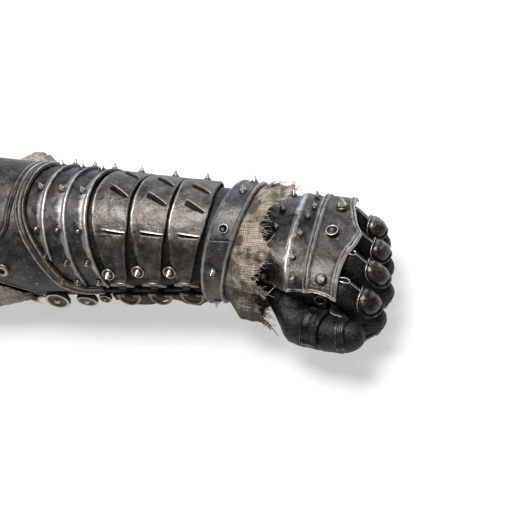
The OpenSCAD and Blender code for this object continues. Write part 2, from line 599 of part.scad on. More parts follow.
// Places a piece on the hand, square to the surface
module on_hand(x, t, h) {
  p = hand_point(x, t, h);
  q = hand_point(x, t + 2, h);
  lean = atan2(q[2] - p[2], q[1] - p[1]);
  translate(p) rotate([lean + 180, 0, 0]) children();
}
module hand_spikes() {
  low = 1 + plate + 0.5;
  high = 1 + 2 * plate + gap + 0.35;
  color(bright_steel) {
    for (p = [[18, -14], [17, 1], [13, 70], [21, -50]]) on_hand(wrist_x + p[0], p[1], low) spike(spike_r, spike_h * 0.8);
    for (p = [[38, -44], [39, -22], [36.5, -9], [35, 2], [33.5, 25], [35.5, 54]])
      on_hand(wrist_x + p[0], p[1], high) spike(spike_r, spike_h * 0.8);
    on_hand(wrist_x + 56, -26, high + 0.2) spike(3.2, 9);
    on_hand(wrist_x + 56, -1, high + 0.3) boss(4.6);
    on_hand(wrist_x + 55, 42, high + 0.3) spike(3.4, 7);
  }
}
module glove_boss() {
  color(steel)
  on_hand(wrist_x + 54, 81, 0.6) rotate_extrude($fn = round_fn)
    polygon([[2.6, 0], [4.8, 0], [4.8, 0.8], [4.2, 1.6], [3.3, 1.6], [2.6, 0.8]]);
}

// Fingers. A hoop is given by its point on the back of the finger, its point on the palm
// side and its half width, in the finger's own frame: X along the segment, Z out of its back.
finger_sides = 14;
function hoop(d, p, w) = let (c = (d + p) / 2, r = (d - p) / 2)
  [for (i = [0 : finger_sides - 1]) let (a = i * 360 / finger_sides)
    [c[0] + r[0] * cos(a), w * sin(a), c[1] + r[1] * cos(a)]];
function inset(d, p, w, t) = let (u = (d - p) / norm(d - p)) hoop(d - u * t, p + u * t, w - t);
function shell(hoops, t) = concat([for (h = hoops) hoop(h[0], h[1], h[2])],
  [for (i = [len(hoops) - 1 : -1 : 0]) inset(hoops[i][0], hoops[i][1], hoops[i][2], t)]);
wall = 1.7;
finger_lean = 12;
// The fingers spread with the breadth of the hand
usual_hand_half = 42.5;
row_pitch = finger_pitch + (hand_half - usual_hand_half) / 2;
finger_half = row_pitch / 2 * cos(finger_lean) - gap;
// How far behind a joint a lip of this height ends, so that its inner edge clears the next ball
function lip_back(next_r, lip) = sqrt(pow(next_r + gap, 2) - pow(lip - wall, 2));
function ball(r, a) = [-r * sin(a), r * cos(a)];
function base_hoops(r, w, long) =
  [[ball(r, 79), ball(r, 150), w - 1.6], [ball(r, 46), ball(r, 165), w - 0.5], [ball(r, 17), ball(r - 0.5, 174), w],
   [[6, r - 0.1], [3, -r + 0.8], w], [[long * 0.45, r - 0.5], [long * 0.3, -r + 1.3], w - 0.2],
   [[long - lip_back(mid_r, r - 1), r - 1], [long - 15, -r + 1.7], w - 0.6]];
mid_r = 10;
function mid_hoops(r, w, long) =
  [[ball(r, 80), ball(r, 150), w - 1.2], [ball(r, 18), ball(r, 168), w], [[6, r - 0.4], [5, -r + 0.8], w],
   [[long - lip_back(tip_r, r - 1), r - 1], [long - 13, -r + 1.4], w - 0.4]];
tip_r = 9.2;
function tip_hoops(r, w, long) =
  [[ball(r, 76), ball(r, 150), w - 1.2], [ball(r, 14), ball(r, 166), w - 0.1], [[7, r - 0.3], [7, -r + 0.6], w],
   [[long - 6, r - 1.8], [long - 6, -r + 1.8], w - 1.4], [[long - 1.6, r - 4.8], [long - 1.6, -r + 4.8], w - 4.6]];

// Finger places: [place in the row, distance in front of the knuckle line, height, length factor,
// start of the knuckle cap along the segment]
fingers = [[-1.5, -4.5, -0.4, 0.94, 5.5], [-0.5, -4, 0, 1, 6], [0.5, -7.5, -0.4, 0.98, 10.5],
  [1.5, -13, -0.8, 0.9, 8]];
knuckle_line = [for (f = fingers, side = [-0.3, 0.25]) [hand_drop + (f[0] + side) * row_pitch, f[1]]];
function knuckle_back(y) = read(knuckle_line, y);
function row_top(y) = knuckle_thick * pow(1 - pow(abs(y) / hand_half, 2 / squareness), squareness / 2);
function finger_at(f) = let (y = fingers[f][0] * row_pitch)
  [knuckle_x + fingers[f][1], hand_drop + y,
   hand_drop + row_top(y) + 1 + plate + gap - knuckle_room - knuckle_r + fingers[f][2]];
knuckle_room = 1.4;
function base_long(f) = prox_len * fingers[f][3];
module base_place(f) { translate(finger_at(f)) rotate([-finger_lean, 0, 0]) rotate([0, knuckle_bend, 0]) children(); }
module middle_place(f) { base_place(f) translate([base_long(f), 0, 0]) rotate([0, middle_bend, 0]) children(); }
module tip_place(f) { middle_place(f) translate([mid_len, 0, 0]) rotate([0, tip_bend, 0]) children(); }

module finger_base(f) {
  color(black_leather) base_place(f) hoop_solid(shell(base_hoops(knuckle_r, finger_half, base_long(f)), wall));
}
module finger_middle(f) {
  color(black_leather) middle_place(f) hoop_solid(shell(mid_hoops(mid_r, finger_half - 0.8, mid_len), wall));
}
module finger_tip(f) {
  hoops = tip_hoops(tip_r, finger_half - 1.5, tip_len);
  inner = [for (i = [0 : 3]) inset(hoops[i][0], hoops[i][1], hoops[i][2], wall)];
  color(black_leather) tip_place(f)
    capsule(concat([for (i = [4 : -1 : 0]) hoop(hoops[i][0], hoops[i][1], hoops[i][2])], inner));
}
// Knuckle cap: an oval dome in a raised rim, with the link behind it
cap_end = 1.5;
cap_turn = 56;
cap_lift = 0.5;
// Height of the cap over its foot: a dome, a groove and a rim, by the distance from its middle
function cap_rise(e) = e > 0.97 ? 1.4 : e > 0.7 ? 2.9 : e > 0.55 ? 1.9 : 4.4 - 3 * pow(e, 2);
function cap_width(u) = cap_turn * max(0.12, pow(sin(180 * u), 0.55));
module knuckle_cap(f) {
  n = 8;
  color(steel) base_place(f) {
    strip([for (i = [0 : n])
      let (u = i / n, s = mix(fingers[f][4], base_long(f) - cap_end, (1 - cos(180 * u)) / 2), wide = cap_width(u))
      concat(
        [for (j = [-5 : 5]) cap_point(s, j / 5 * wide, cap_lift + cap_rise(max(abs(j) / 5, abs(2 * u - 1))))],
        [for (j = [5 : -1 : -5]) cap_point(s, j / 5 * wide, cap_lift)])]);
    cap_link();
  }
}
function cap_point(s, a, h) = [s, (finger_half + h) * sin(a), (knuckle_r + max(0, s - 6) * 0.04 + h) * cos(a)];
// An oval wire link that lies over the knuckle, by its angle behind the top of the finger
link_middle = 38;
link_reach = 22;
module cap_link() {
  r = knuckle_r + 0.6;
  n = 16;
  hoop_solid([for (i = [0 : n - 1]) let (t = i * 360 / n, a = link_middle + link_reach * cos(t), y = 2.2 * sin(t) * (1 - 0.3 * cos(t)))
    [for (k = [0 : 3]) let (q = k * 90 + 45, d = 0.45 * cos(q), e = 0.55 * sin(q))
      [-(r + d) * sin(a + e * 3 * cos(t)), y + e * 1.2 * sin(t), (r + d) * cos(a + e * 3 * cos(t))]]]);
}
module finger_plate(f) {
  color(steel) middle_place(f)
  strip([for (s = steps(1, mid_len - 9, 3)) concat(
    [for (j = [-3 : 3]) plate_saddle(s, j * 17, 1.9 + (abs(j) < 3 ? 0 : -0.5))],
    [for (j = [3 : -1 : -3]) plate_saddle(s, j * 17, 0.5)])]);
}
function plate_saddle(s, a, h) = [s, (finger_half - 0.8 + h) * sin(a), (mid_r + h) * cos(a)];

module index_base() { finger_base(0); }
module middle_base() { finger_base(1); }
module ring_base() { finger_base(2); }
module little_base() { finger_base(3); }
module index_cap() { knuckle_cap(0); }
module middle_cap() { knuckle_cap(1); }
module ring_cap() { knuckle_cap(2); }
module little_cap() { knuckle_cap(3); }
module index_middle() { finger_middle(0); }
module middle_middle() { finger_middle(1); }
module ring_middle() { finger_middle(2); }
module little_middle() { finger_middle(3); }
module index_plate() { finger_plate(0); }
module middle_plate() { finger_plate(1); }
module ring_plate() { finger_plate(2); }
module little_plate() { finger_plate(3); }
module index_tip() { finger_tip(0); }
module middle_tip() { finger_tip(1); }
module ring_tip() { finger_tip(2); }
module little_tip() { finger_tip(3); }

// Thumb, along the side of the fist
thumb_turn = -18;
thumb_rise = 7;
thumb_roll = 25;
thumb_tip_turn = 13;
thumb_tip_r = 11.2;
module thumb_place() { translate(thumb_at) rotate([0, 0, thumb_turn]) rotate([0, -thumb_rise, 0]) children(); }
module thumb_tip_place() { thumb_place() translate([thumb_len, 0, 0]) rotate([0, -8, thumb_tip_turn]) children(); }
thumb_hoops = let (r = thumb_r, w = thumb_r)
  [[ball(r, 56), ball(r, 138), w - 4], [ball(r, 30), ball(r, 160), w - 0.8], [[3, r - 0.2], [2, -r + 0.3], w - 0.2],
   [[thumb_len - lip_back(thumb_tip_r, r - 1.2), r - 1.2], [thumb_len - 14, -r + 1.6], w - 1.4]];
module thumb_base() {
  color(black_leather) thumb_place() rotate([thumb_roll, 0, 0]) hoop_solid(shell(thumb_hoops, wall));
}
module thumb_tip() {
  hoops = tip_hoops(thumb_tip_r, thumb_tip_r, thumb_tip_len);
  inner = [for (i = [0 : 3]) inset(hoops[i][0], hoops[i][1], hoops[i][2], wall)];
  color(black_leather) thumb_tip_place() rotate([thumb_roll, 0, 0])
    capsule(concat([for (i = [4 : -1 : 0]) hoop(hoops[i][0], hoops[i][1], hoops[i][2])], inner));
}
function saddle(s, a, r, h) = [s, (r + h) * sin(a), (r + h) * cos(a)];
module thumb_saddle(from, to, r, rows) {
  strip([for (s = steps(from, to, rows)) concat(
    [for (j = [-4 : 4]) saddle(s, j * 16, r, 2 + (abs(j) == 3 ? 0.8 : abs(j) == 4 ? -0.3 : 0))],
    [for (j = [4 : -1 : -4]) saddle(s, j * 16, r, 0.6)])]);
}
module thumb_plate() {
  color(steel) thumb_place() rotate([thumb_roll, 0, 0]) thumb_saddle(0, thumb_len - 11, thumb_r - 0.1, 4);
}
module thumb_tip_plate() {
  color(steel) thumb_tip_place() rotate([thumb_roll, 0, 0]) thumb_saddle(1, thumb_tip_len - 9, thumb_tip_r, 3);
}

sleeve();
tongue();
burlap_lining();
under_plate();
elbow_plate();
border_band();
lame_1();
lame_2();
lame_3();
lame_spikes();
scale_plate_1();
scale_plate_2();
scale_plate_3();
plate_louvres();
closure_studs();
ridge_spikes();
cuff_upper();
cuff_lower();
cuff_spikes();
closure_bosses();
closure_flap();
ring_clips();
d_ring_1();
d_ring_2();
d_ring_3();
d_ring_4();
d_ring_5();
d_ring_6();
burlap_ruff();
wrist_gusset();
glove_hand();
wrist_lame();
middle_lame();
hand_plate();
hand_spikes();
glove_boss();
index_base();
index_cap();
index_middle();
index_plate();
index_tip();
middle_base();
middle_cap();
middle_middle();
middle_plate();
middle_tip();
ring_base();
ring_cap();
ring_middle();
ring_plate();
ring_tip();
little_base();
little_cap();
little_middle();
little_plate();
little_tip();
thumb_base();
thumb_plate();
thumb_tip();
thumb_tip_plate();
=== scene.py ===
# %% [markdown]
# # A left-hand gauntlet
# Steel plates are shingled over black leather, with burlap underneath. The frame holds the
# measured solids, their bodies and their joints. Every solid but the six lacing rings gets a
# surface here, worked out as a function of two parameters with the same numbers as the solids,
# so that it fits its neighbours. A surface given one body moves with it.
# %% Frame
from collections import namedtuple
import bpy
import numpy as np
from mathutils import Matrix, Vector


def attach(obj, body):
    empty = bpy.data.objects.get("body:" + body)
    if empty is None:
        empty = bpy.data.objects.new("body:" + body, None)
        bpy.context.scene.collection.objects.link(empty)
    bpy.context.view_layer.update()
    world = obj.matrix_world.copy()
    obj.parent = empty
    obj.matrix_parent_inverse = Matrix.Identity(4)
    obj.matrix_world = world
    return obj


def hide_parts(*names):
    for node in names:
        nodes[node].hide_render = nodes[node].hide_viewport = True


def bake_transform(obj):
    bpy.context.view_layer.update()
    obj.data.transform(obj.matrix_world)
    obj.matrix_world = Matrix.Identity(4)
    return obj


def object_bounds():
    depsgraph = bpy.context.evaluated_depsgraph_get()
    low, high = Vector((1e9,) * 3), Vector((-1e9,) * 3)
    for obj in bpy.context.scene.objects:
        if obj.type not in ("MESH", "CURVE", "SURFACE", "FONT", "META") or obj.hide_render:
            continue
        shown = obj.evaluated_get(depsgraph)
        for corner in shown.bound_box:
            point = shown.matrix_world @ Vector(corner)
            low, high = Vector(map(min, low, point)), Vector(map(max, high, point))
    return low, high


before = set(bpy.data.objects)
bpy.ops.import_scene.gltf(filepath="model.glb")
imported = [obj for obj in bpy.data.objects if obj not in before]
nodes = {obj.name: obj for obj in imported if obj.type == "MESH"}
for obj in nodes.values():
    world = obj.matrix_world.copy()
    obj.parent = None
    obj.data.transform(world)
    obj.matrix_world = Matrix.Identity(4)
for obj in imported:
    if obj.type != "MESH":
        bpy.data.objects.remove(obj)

cad_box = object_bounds()
print("solids", len(nodes), "box", [tuple(round(c, 3) for c in corner) for corner in cad_box])

# %% [markdown]
# ## Curves and noise
# Every edge, bead and fold below is a sum of a few small functions: a smooth step, a hump, a
# ridge, a curve through rows of numbers, and smooth noise. They could be modifiers or painted
# maps instead, but as functions they work on whole arrays and meet their neighbours exactly.
# All lengths are in millimetres until a mesh is made.
# %% Curves and noise
MM = 0.001
lattice_size = 64


def mix(a, b, u):
    """The point a share u of the way from a to b: a + (b - a) u."""
    return a + (b - a) * u


def ease(x, low, high):
    """0 below low, 1 above high, and the cubic 3t^2 - 2t^3 in between."""
    t = np.clip((x - low) / (high - low), 0, 1)
    return t * t * (3 - 2 * t)


def hump(x, low, high):
    """A squared sine that rises from 0 at low to 1 half way and falls to 0 at high."""
    t = np.clip((x - low) / (high - low), 0, 1)
    return np.sin(np.pi * t) ** 2


def ridge(d, centre, width):
    """A bell of height 1 at the distance centre: e to the minus squared distance in widths."""
    return np.exp(-(((d - centre) / width) ** 2))


def lip(d, r=0.45):
    """How far a plate's top drops at a distance d inside its edge: a quarter round of radius r,
    r minus the square root of r^2 - (r - d)^2."""
    return r - np.sqrt(np.maximum(0, r * r - np.maximum(0, r - d) ** 2))


def table(rows, x):
    """Smooth curve through rows of [place, value]: cubic pieces whose slopes come from the
    neighbours of each row."""
    p, v = np.array(rows, float).T
    last = len(p) - 1
    i = np.clip(np.searchsorted(p, x, side="right") - 1, 0, last - 1)
    after, before = np.minimum(np.arange(last + 1) + 1, last), np.maximum(np.arange(last + 1) - 1, 0)
    slopes = (v[after] - v[before]) / (p[after] - p[before])
    w = p[i + 1] - p[i]
    u = np.clip((x - p[i]) / w, 0, 1)
    return (v[i] * (2 * u**3 - 3 * u**2 + 1) + slopes[i] * w * (u**3 - 2 * u**2 + u)
            + v[i + 1] * (3 * u**2 - 2 * u**3) + slopes[i + 1] * w * (u**3 - u**2))


def along_path(path, u):
    """Smooth curve through a path's points, u counted in points: the same cubic pieces, with half
    the step between a point's neighbours as its slope."""
    i = np.clip(np.floor(u).astype(int), 0, len(path) - 2)
    at = lambda k: path[np.clip(k, 0, len(path) - 1)]
    a, b, c, d = at(i - 1), at(i), at(i + 1), at(i + 2)
    t = (u - i)[:, None]
    return (b * (2 * t**3 - 3 * t**2 + 1) + (c - a) / 2 * (t**3 - 2 * t**2 + t)
            + c * (3 * t**2 - 2 * t**3) + (d - b) / 2 * (t**3 - t**2))


def grain(u, v, seed):
    """Smooth noise from -1 to 1: random values on a lattice of unit squares, eased in between."""
    lattice = np.random.default_rng(seed).random((lattice_size, lattice_size)) * 2 - 1
    iu, iv = np.floor(u).astype(int), np.floor(v).astype(int)
    fu, fv = ease(u - iu, 0, 1), ease(v - iv, 0, 1)
    at = lambda a, b: lattice[a % lattice_size, b % lattice_size]
    return mix(mix(at(iu, iv), at(iu + 1, iv), fu), mix(at(iu, iv + 1), at(iu + 1, iv + 1), fu), fv)


def unit(v):
    """Vectors divided by their length."""
    return v / np.maximum(np.linalg.norm(v, axis=-1, keepdims=True), 1e-9)


def column(low, high, count):
    """Even steps from low to high, one to a row, ready to meet a row of stations in a grid."""
    return np.linspace(low, high, count)[:, None]


def grid(u, v):
    """Two arrays with every pair of a u and a v: u changes from row to row, v along a row."""
    return np.meshgrid(u, v, indexing="ij")


def circle(count):
    """Even steps once round, in radians, without the last one, which would repeat the first."""
    return np.linspace(0, 2 * np.pi, count, endpoint=False)


print("an ease, a hump and a ridge half way:", ease(0.5, 0, 1), hump(0.5, 0, 1), ridge(0.5, 0.5, 1))

# %% [markdown]
# ## Meshes
# A surface is a grid of points, so its faces follow from its two counts. A plate could be a flat
# sheet with a Solidify modifier, but a closed section swept along it gives thickness and rolled
# rims in one piece. Wear is stored on the points as a number, and the finishes read it, so that
# bright edges sit on the real edges. On some plates the same number also holds painted highlight
# and sheen, and below zero painted shade as well as grime.
# %% Meshes
def quads(m, n, wrap_m=False, wrap_n=False):
    """Faces of a grid of m by n points, which may close on itself either way."""
    i = np.arange(m if wrap_m else m - 1)[:, None]
    j = np.arange(n if wrap_n else n - 1)[None, :]
    k, l = (i + 1) % m, (j + 1) % n
    return np.stack([i * n + j, i * n + l, k * n + l, k * n + j], -1).reshape(-1, 4)


def cap_quads(first, n):
    """Faces that close a section of n points, whose second half runs back under the first."""
    i = np.arange(n // 2 - 1)
    return np.stack([first + i, first + i + 1, first + n - 2 - i, first + n - 1 - i], 1)


def bar_faces(m, n):
    """Faces of m sections of n points, closed round each section and capped at both ends."""
    return np.concatenate([quads(m, n, False, True), cap_quads(0, n)[:, ::-1], cap_quads((m - 1) * n, n)])


def facing_out(points, faces):
    """The faces of a closed mesh, turned where its signed volume is negative. The volume is the
    sum of a . (b x c) over the two triangles of each face."""
    p = points.reshape(-1, 3)
    a, b, c, d = (p[faces[:, k]] for k in range(4))
    volume = (np.einsum("ij,ij->i", a, np.cross(b, c)) + np.einsum("ij,ij->i", a, np.cross(c, d))).sum()
    return faces if volume > 0 else faces[:, ::-1]


def joined(parts):
    """Several closed grids as one set of points and faces; each part is (points, faces)."""
    points, faces, first = [], [], 0
    for p, f in parts:
        p = p.reshape(-1, 3)
        points.append(p)
        faces.append(f + first)
        first += len(p)
    return np.concatenate(points), np.concatenate(faces)


def make(name, points, faces, body, finish, replaces=(), wear=None, uv=None, sharp=38):
    """A mesh object from points in millimetres, with the material of a finish, which is a slot and a
    material. It rides on its body, or stays where it is when two bodies are given, and stands for
    the solids that it replaces."""
    slot, material = finish
    mesh = bpy.data.meshes.new(name)
    mesh.from_pydata((points.reshape(-1, 3) * MM).tolist(), [], faces.tolist())
    mesh.polygons.foreach_set("use_smooth", np.ones(len(mesh.polygons), bool))
    mesh.set_sharp_from_angle(angle=np.radians(sharp))
    if wear is not None:
        worn = mesh.attributes.new("wear", "FLOAT", "POINT")
        worn.data.foreach_set("value", wear.ravel().astype(np.float32))
    if uv is not None:
        loops = np.zeros(len(mesh.loops), np.int32)
        mesh.loops.foreach_get("vertex_index", loops)
        flat = uv.reshape(-1, 2)[loops]
        mesh.uv_layers.new(name="flat").data.foreach_set("uv", flat.ravel().astype(np.float32))
    mesh.materials.append(material)
    piece = bpy.data.objects.new(name, mesh)
    bpy.context.scene.collection.objects.link(piece)
    if replaces:
        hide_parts(*replaces)
    if isinstance(body, str):
        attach(piece, body)
    else:
        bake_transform(piece)
    return piece


def shell(name, top, bottom, body, finish, replaces=(), wear=None):
    """A plate between two grids of points: each row is a section, top and then bottom backwards.
    Its underside is worn less than its top."""
    sections = np.concatenate([top, bottom[:, ::-1]], 1)
    if wear is not None:
        wear = np.concatenate([wear, wear[:, ::-1] * 0.3], 1)
    faces = facing_out(sections, bar_faces(*sections.shape[:2]))
    return make(name, sections, faces, body, finish, replaces, wear)


def thicken(piece, thickness):
    """Gives an open surface a wall on its inner side."""
    wall = piece.modifiers.new("wall", "SOLIDIFY")
    wall.thickness, wall.offset = thickness * MM, -1
    return piece


print("a bar of 3 sections of 4 points has", len(bar_faces(3, 4)), "faces")

# %% [markdown]
# ## Finishes
# The gauntlet has three materials. Old blackened steel is dark metal with brown rust in patches,
# fine scratches, and bright metal wherever it is rubbed; on some plates that bright metal is also
# painted sheen and highlight, and its grime is also painted shade. The leather is nearly black with
# a fine grain, and the burlap is an open weave with burnt stains, darkened between the threads as
# painted shade. They could be photographs wrapped round the pieces, but noise in object space needs
# no seams and stays sharp close up. Each finish is a material, kept with the slot of the frame that
# it dresses.
# %% Node helpers
def tree_of(name):
    """A new material with an empty node tree."""
    material = bpy.data.materials.new(name)
    material.use_nodes = True
    material.node_tree.nodes.clear()
    return material, material.node_tree


def add(tree, kind, values=None, **settings):
    """A node with its settings; values go to input sockets, as numbers or as links."""
    node = tree.nodes.new(kind)
    for key, value in settings.items():
        setattr(node, key, value)
    for key, value in (values or {}).items():
        if isinstance(value, bpy.types.NodeSocket):
            tree.links.new(value, node.inputs[key])
        else:
            node.inputs[key].default_value = value
    return node


def math(tree, operation, a, b):
    """One arithmetic step on two numbers."""
    return add(tree, "ShaderNodeMath", {0: a, 1: b}, operation=operation).outputs[0]


def plus(tree, a, b):
    """a + b."""
    return math(tree, "ADD", a, b)


def minus(tree, a, b):
    """a - b."""
    return math(tree, "SUBTRACT", a, b)


def times(tree, a, b):
    """a times b."""
    return math(tree, "MULTIPLY", a, b)


def ramp(tree, value, *stops):
    """Maps a number through [place, grey] stops."""
    node = add(tree, "ShaderNodeValToRGB", {0: value})
    elements = node.color_ramp.elements
    for element, (place, grey) in zip(elements, stops):
        element.position = place
        element.color = (grey, grey, grey, 1)
    return node.outputs[0]


def blend_colour(tree, share, a, b):
    """Colour a, with a share of colour b mixed in; a and b are links or three numbers."""
    rgba = lambda c: c if isinstance(c, bpy.types.NodeSocket) else (*c, 1)
    return add(tree, "ShaderNodeMix", {0: share, 6: rgba(a), 7: rgba(b)}, data_type="RGBA").outputs[2]


def darker(colour, share):
    """A share of a colour, number by number."""
    return tuple(c * share for c in colour)


def object_place(tree):
    """The place of a point on the object, in metres."""
    return add(tree, "ShaderNodeTexCoord").outputs["Object"]


def stored_wear_and_light(tree):
    """The wear that make() stored on the points; on some plates it also holds painted highlight and painted
    shade.
    """
    return add(tree, "ShaderNodeAttribute", attribute_name="wear").outputs["Fac"]


def noise(tree, place, scale, detail=4.0, rough=0.6, stretch=None):
    """Noise with so many waves to the metre; stretch gives a scale for each axis, then a turn."""
    if stretch:
        scales, turn = stretch
        values = {"Vector": place, "Rotation": turn, "Scale": scales}
        place = add(tree, "ShaderNodeMapping", values).outputs[0]
    values = {"Vector": place, "Scale": scale, "Detail": detail, "Roughness": rough}
    return add(tree, "ShaderNodeTexNoise", values).outputs[0]


def principled(tree, values, height, strength, distance):
    """The surface shader, with a bump from a height."""
    bump = add(tree, "ShaderNodeBump", {"Strength": strength, "Distance": distance, "Height": height})
    shader = add(tree, "ShaderNodeBsdfPrincipled", {**values, "Normal": bump.outputs[0]})
    add(tree, "ShaderNodeOutputMaterial", {0: shader.outputs[0]})


print("node helpers ready")


# %% Steel finish
# the colour where wear is below zero: grime in grooves and at the feet of fittings, and painted shade in the
# slots beside the bars and on the lower ends of the scale plates
grime_and_shade_colour = (0.006, 0.005, 0.004)


def steel_finish(name, dark, rust, bright, rust_share=0.5, roughness=0.42, dents=0.5, worn=1.0, mottle=0.6):
    """Blackened steel. The colour is dark metal, mixed in turn with rust in patches, pale mottling,
    dark specks, scratches, bright metal where wear is high, and grime where wear is below zero.
    Where a plate's wear was raised or lowered for the light, the bright metal is painted highlight
    and sheen, and the grime is painted shade."""
    material, tree = tree_of(name)
    place = object_place(tree)
    patches = noise(tree, place, 55, 5, 0.65)
    blotches = noise(tree, place, 190, 4, 0.6)
    speckle = noise(tree, place, 900, 3, 0.7)
    scratch_a = noise(tree, place, 260, 2, 0.5, ((1, 9, 2), (0.6, 0.2, 0.5)))
    scratch_b = noise(tree, place, 240, 2, 0.5, ((8, 1, 1.5), (0.2, 0.7, -0.4)))
    scratched_a = ramp(tree, scratch_a, (0.66, 0), (0.72, 1))
    scratched_b = ramp(tree, scratch_b, (0.67, 0), (0.73, 1))
    scratches = math(tree, "MAXIMUM", scratched_a, scratched_b)
    wear = stored_wear_and_light(tree)
    # the blotches break rubbed edges up: they raise or lower the wear before it meets a threshold
    wear_and_light_here = times(tree, wear, 1.25 * worn)
    rubbed = plus(tree, wear_and_light_here, times(tree, minus(tree, blotches, 0.55), 0.85))
    rubbed = ramp(tree, rubbed, (0.34, 0), (1.08, 1))
    # grime, and painted shade where a plate's wear was lowered for it
    grime_and_shade = ramp(tree, times(tree, wear, -1.0), (0.1, 0), (0.9, 1))
    rusted = ramp(tree, plus(tree, patches, (rust_share - 0.5) * 0.3), (0.44, 0), (0.62, 1))
    colour = blend_colour(tree, rusted, dark, rust)
    pale_patch = ramp(tree, noise(tree, place, 95, 6, 0.7), (0.42, 0), (0.66, 1))
    pale_rust = tuple(mix(r, b, 0.28) for r, b in zip(rust, bright))
    colour = blend_colour(tree, times(tree, pale_patch, mottle), colour, pale_rust)
    colour = blend_colour(tree, ramp(tree, speckle, (0.4, 0), (0.75, 0.55)), colour, darker(dark, 0.45))
    scratched = times(tree, scratches, ramp(tree, blotches, (0.42, 0), (0.6, 0.75)))
    colour = blend_colour(tree, scratched, colour, bright)
    # bright metal where rubbed, and painted sheen and highlight where a plate's wear was raised for the light
    colour = blend_colour(tree, rubbed, colour, bright)
    colour = blend_colour(tree, grime_and_shade, colour, grime_and_shade_colour)
    uneven = plus(tree, roughness, times(tree, minus(tree, blotches, 0.5), 0.5))
    uneven = minus(tree, uneven, times(tree, rubbed, 0.10))
    height = plus(tree, times(tree, blotches, dents), times(tree, speckle, 0.18))
    height = minus(tree, height, times(tree, scratches, 0.06))
    principled(tree, {"Base Color": colour, "Metallic": 0.85, "Roughness": uneven}, height, 0.55, 0.0012)
    return material


blackened_steel = ("dark_plate", steel_finish(
    "blackened_steel", (0.033, 0.034, 0.039), (0.066, 0.052, 0.043), (0.46, 0.44, 0.42),
    rust_share=0.42, roughness=0.45, dents=0.8, mottle=0.5))
browned_steel = ("brown_plate", steel_finish(
    "browned_steel", (0.048, 0.044, 0.041), (0.082, 0.064, 0.051), (0.46, 0.43, 0.39),
    roughness=0.43, dents=1.1, mottle=0.75))
border_steel = ("brown_plate", steel_finish(
    "border_steel", (0.042, 0.041, 0.042), (0.088, 0.066, 0.050), (0.42, 0.38, 0.34),
    rust_share=0.55, mottle=0.4))
hand_steel = ("hand_steel", steel_finish(
    "hand_steel", (0.026, 0.025, 0.026), (0.050, 0.040, 0.033), (0.46, 0.43, 0.40), dents=1.0))
spike_steel = ("bright_steel", steel_finish(
    "spike_steel", (0.060, 0.054, 0.050), (0.09, 0.070, 0.054), (0.64, 0.61, 0.56),
    rust_share=0.45, roughness=0.30, dents=0.3))
cap_steel = ("hand_steel", steel_finish(
    "cap_steel", (0.036, 0.034, 0.034), (0.062, 0.049, 0.040), (0.56, 0.53, 0.49),
    roughness=0.26, dents=0.7, mottle=0.5))
thumb_steel = ("hand_steel", steel_finish(
    "thumb_steel", (0.015, 0.015, 0.017), (0.030, 0.025, 0.022), (0.34, 0.32, 0.30),
    rust_share=0.45, roughness=0.36, dents=0.4, worn=0.9, mottle=0.3))
bar_steel = ("bright_steel", steel_finish(
    "bar_steel", (0.40, 0.36, 0.31), (0.24, 0.19, 0.15), (0.70, 0.66, 0.60),
    rust_share=0.4, roughness=0.4))
ring_iron = ("ring_iron", steel_finish(
    "ring_iron", (0.16, 0.15, 0.145), (0.19, 0.145, 0.11), (0.50, 0.47, 0.44),
    roughness=0.36, dents=0.3))
print("9 steel finishes of", len(blackened_steel[1].node_tree.nodes), "nodes each")


# %% Leather finish
def leather_finish(name, base, rubbed, roughness, strokes, crease=0.6):
    """Leather: the base colour darkens in broad clouds and takes the rubbed colour in hair-thin
    strokes and where wear is high. Its height is pebbled cells plus stretched folds."""
    material, tree = tree_of(name)
    place = object_place(tree)
    clouds = noise(tree, place, 60, 5, 0.6)
    rub = noise(tree, place, 170, 4, 0.65, ((1, 5, 2), (0.3, 0.2, 0.4)))
    folds = noise(tree, place, 120, 3, 0.55, ((2.6, 1, 1), (0.2, 0.3, 0.3)))
    cells = add(tree, "ShaderNodeTexVoronoi", {"Vector": place, "Scale": 900.0}).outputs["Distance"]
    wear = stored_wear_and_light(tree)
    hairs = noise(tree, place, 420, 3, 0.6, ((1, 7, 2), (0.5, 0.3, 0.7)))
    rub_at = ramp(tree, rub, (0.47, 0), (0.66, 1))
    hair_at = ramp(tree, hairs, (0.5, 0.15), (0.66, 1))
    stroke = times(tree, times(tree, rub_at, hair_at), strokes)
    colour = blend_colour(tree, ramp(tree, clouds, (0.4, 0), (0.65, 1)), base, darker(base, 0.6))
    colour = blend_colour(tree, stroke, colour, rubbed)
    colour = blend_colour(tree, times(tree, wear, 0.8), colour, rubbed)
    height = plus(tree, times(tree, cells, 0.35), times(tree, folds, crease))
    uneven = plus(tree, roughness, times(tree, clouds, 0.15))
    values = {"Base Color": colour, "Roughness": uneven, "Specular IOR Level": 0.22}
    principled(tree, values, height, 0.5, 0.0014)
    return material


black_leather = ("black_leather", leather_finish(
    "black_leather", (0.0042, 0.0040, 0.0047), (0.085, 0.072, 0.066), roughness=0.42, strokes=0.85))
brown_leather = ("brown_leather", leather_finish(
    "brown_leather", (0.030, 0.020, 0.014), (0.115, 0.076, 0.050), roughness=0.5, strokes=0.55, crease=0.9))
print("2 leather finishes of", len(black_leather[1].node_tree.nodes), "nodes each")


# %% Burlap finish
weave_scale, thread_scale = 225.0, 700


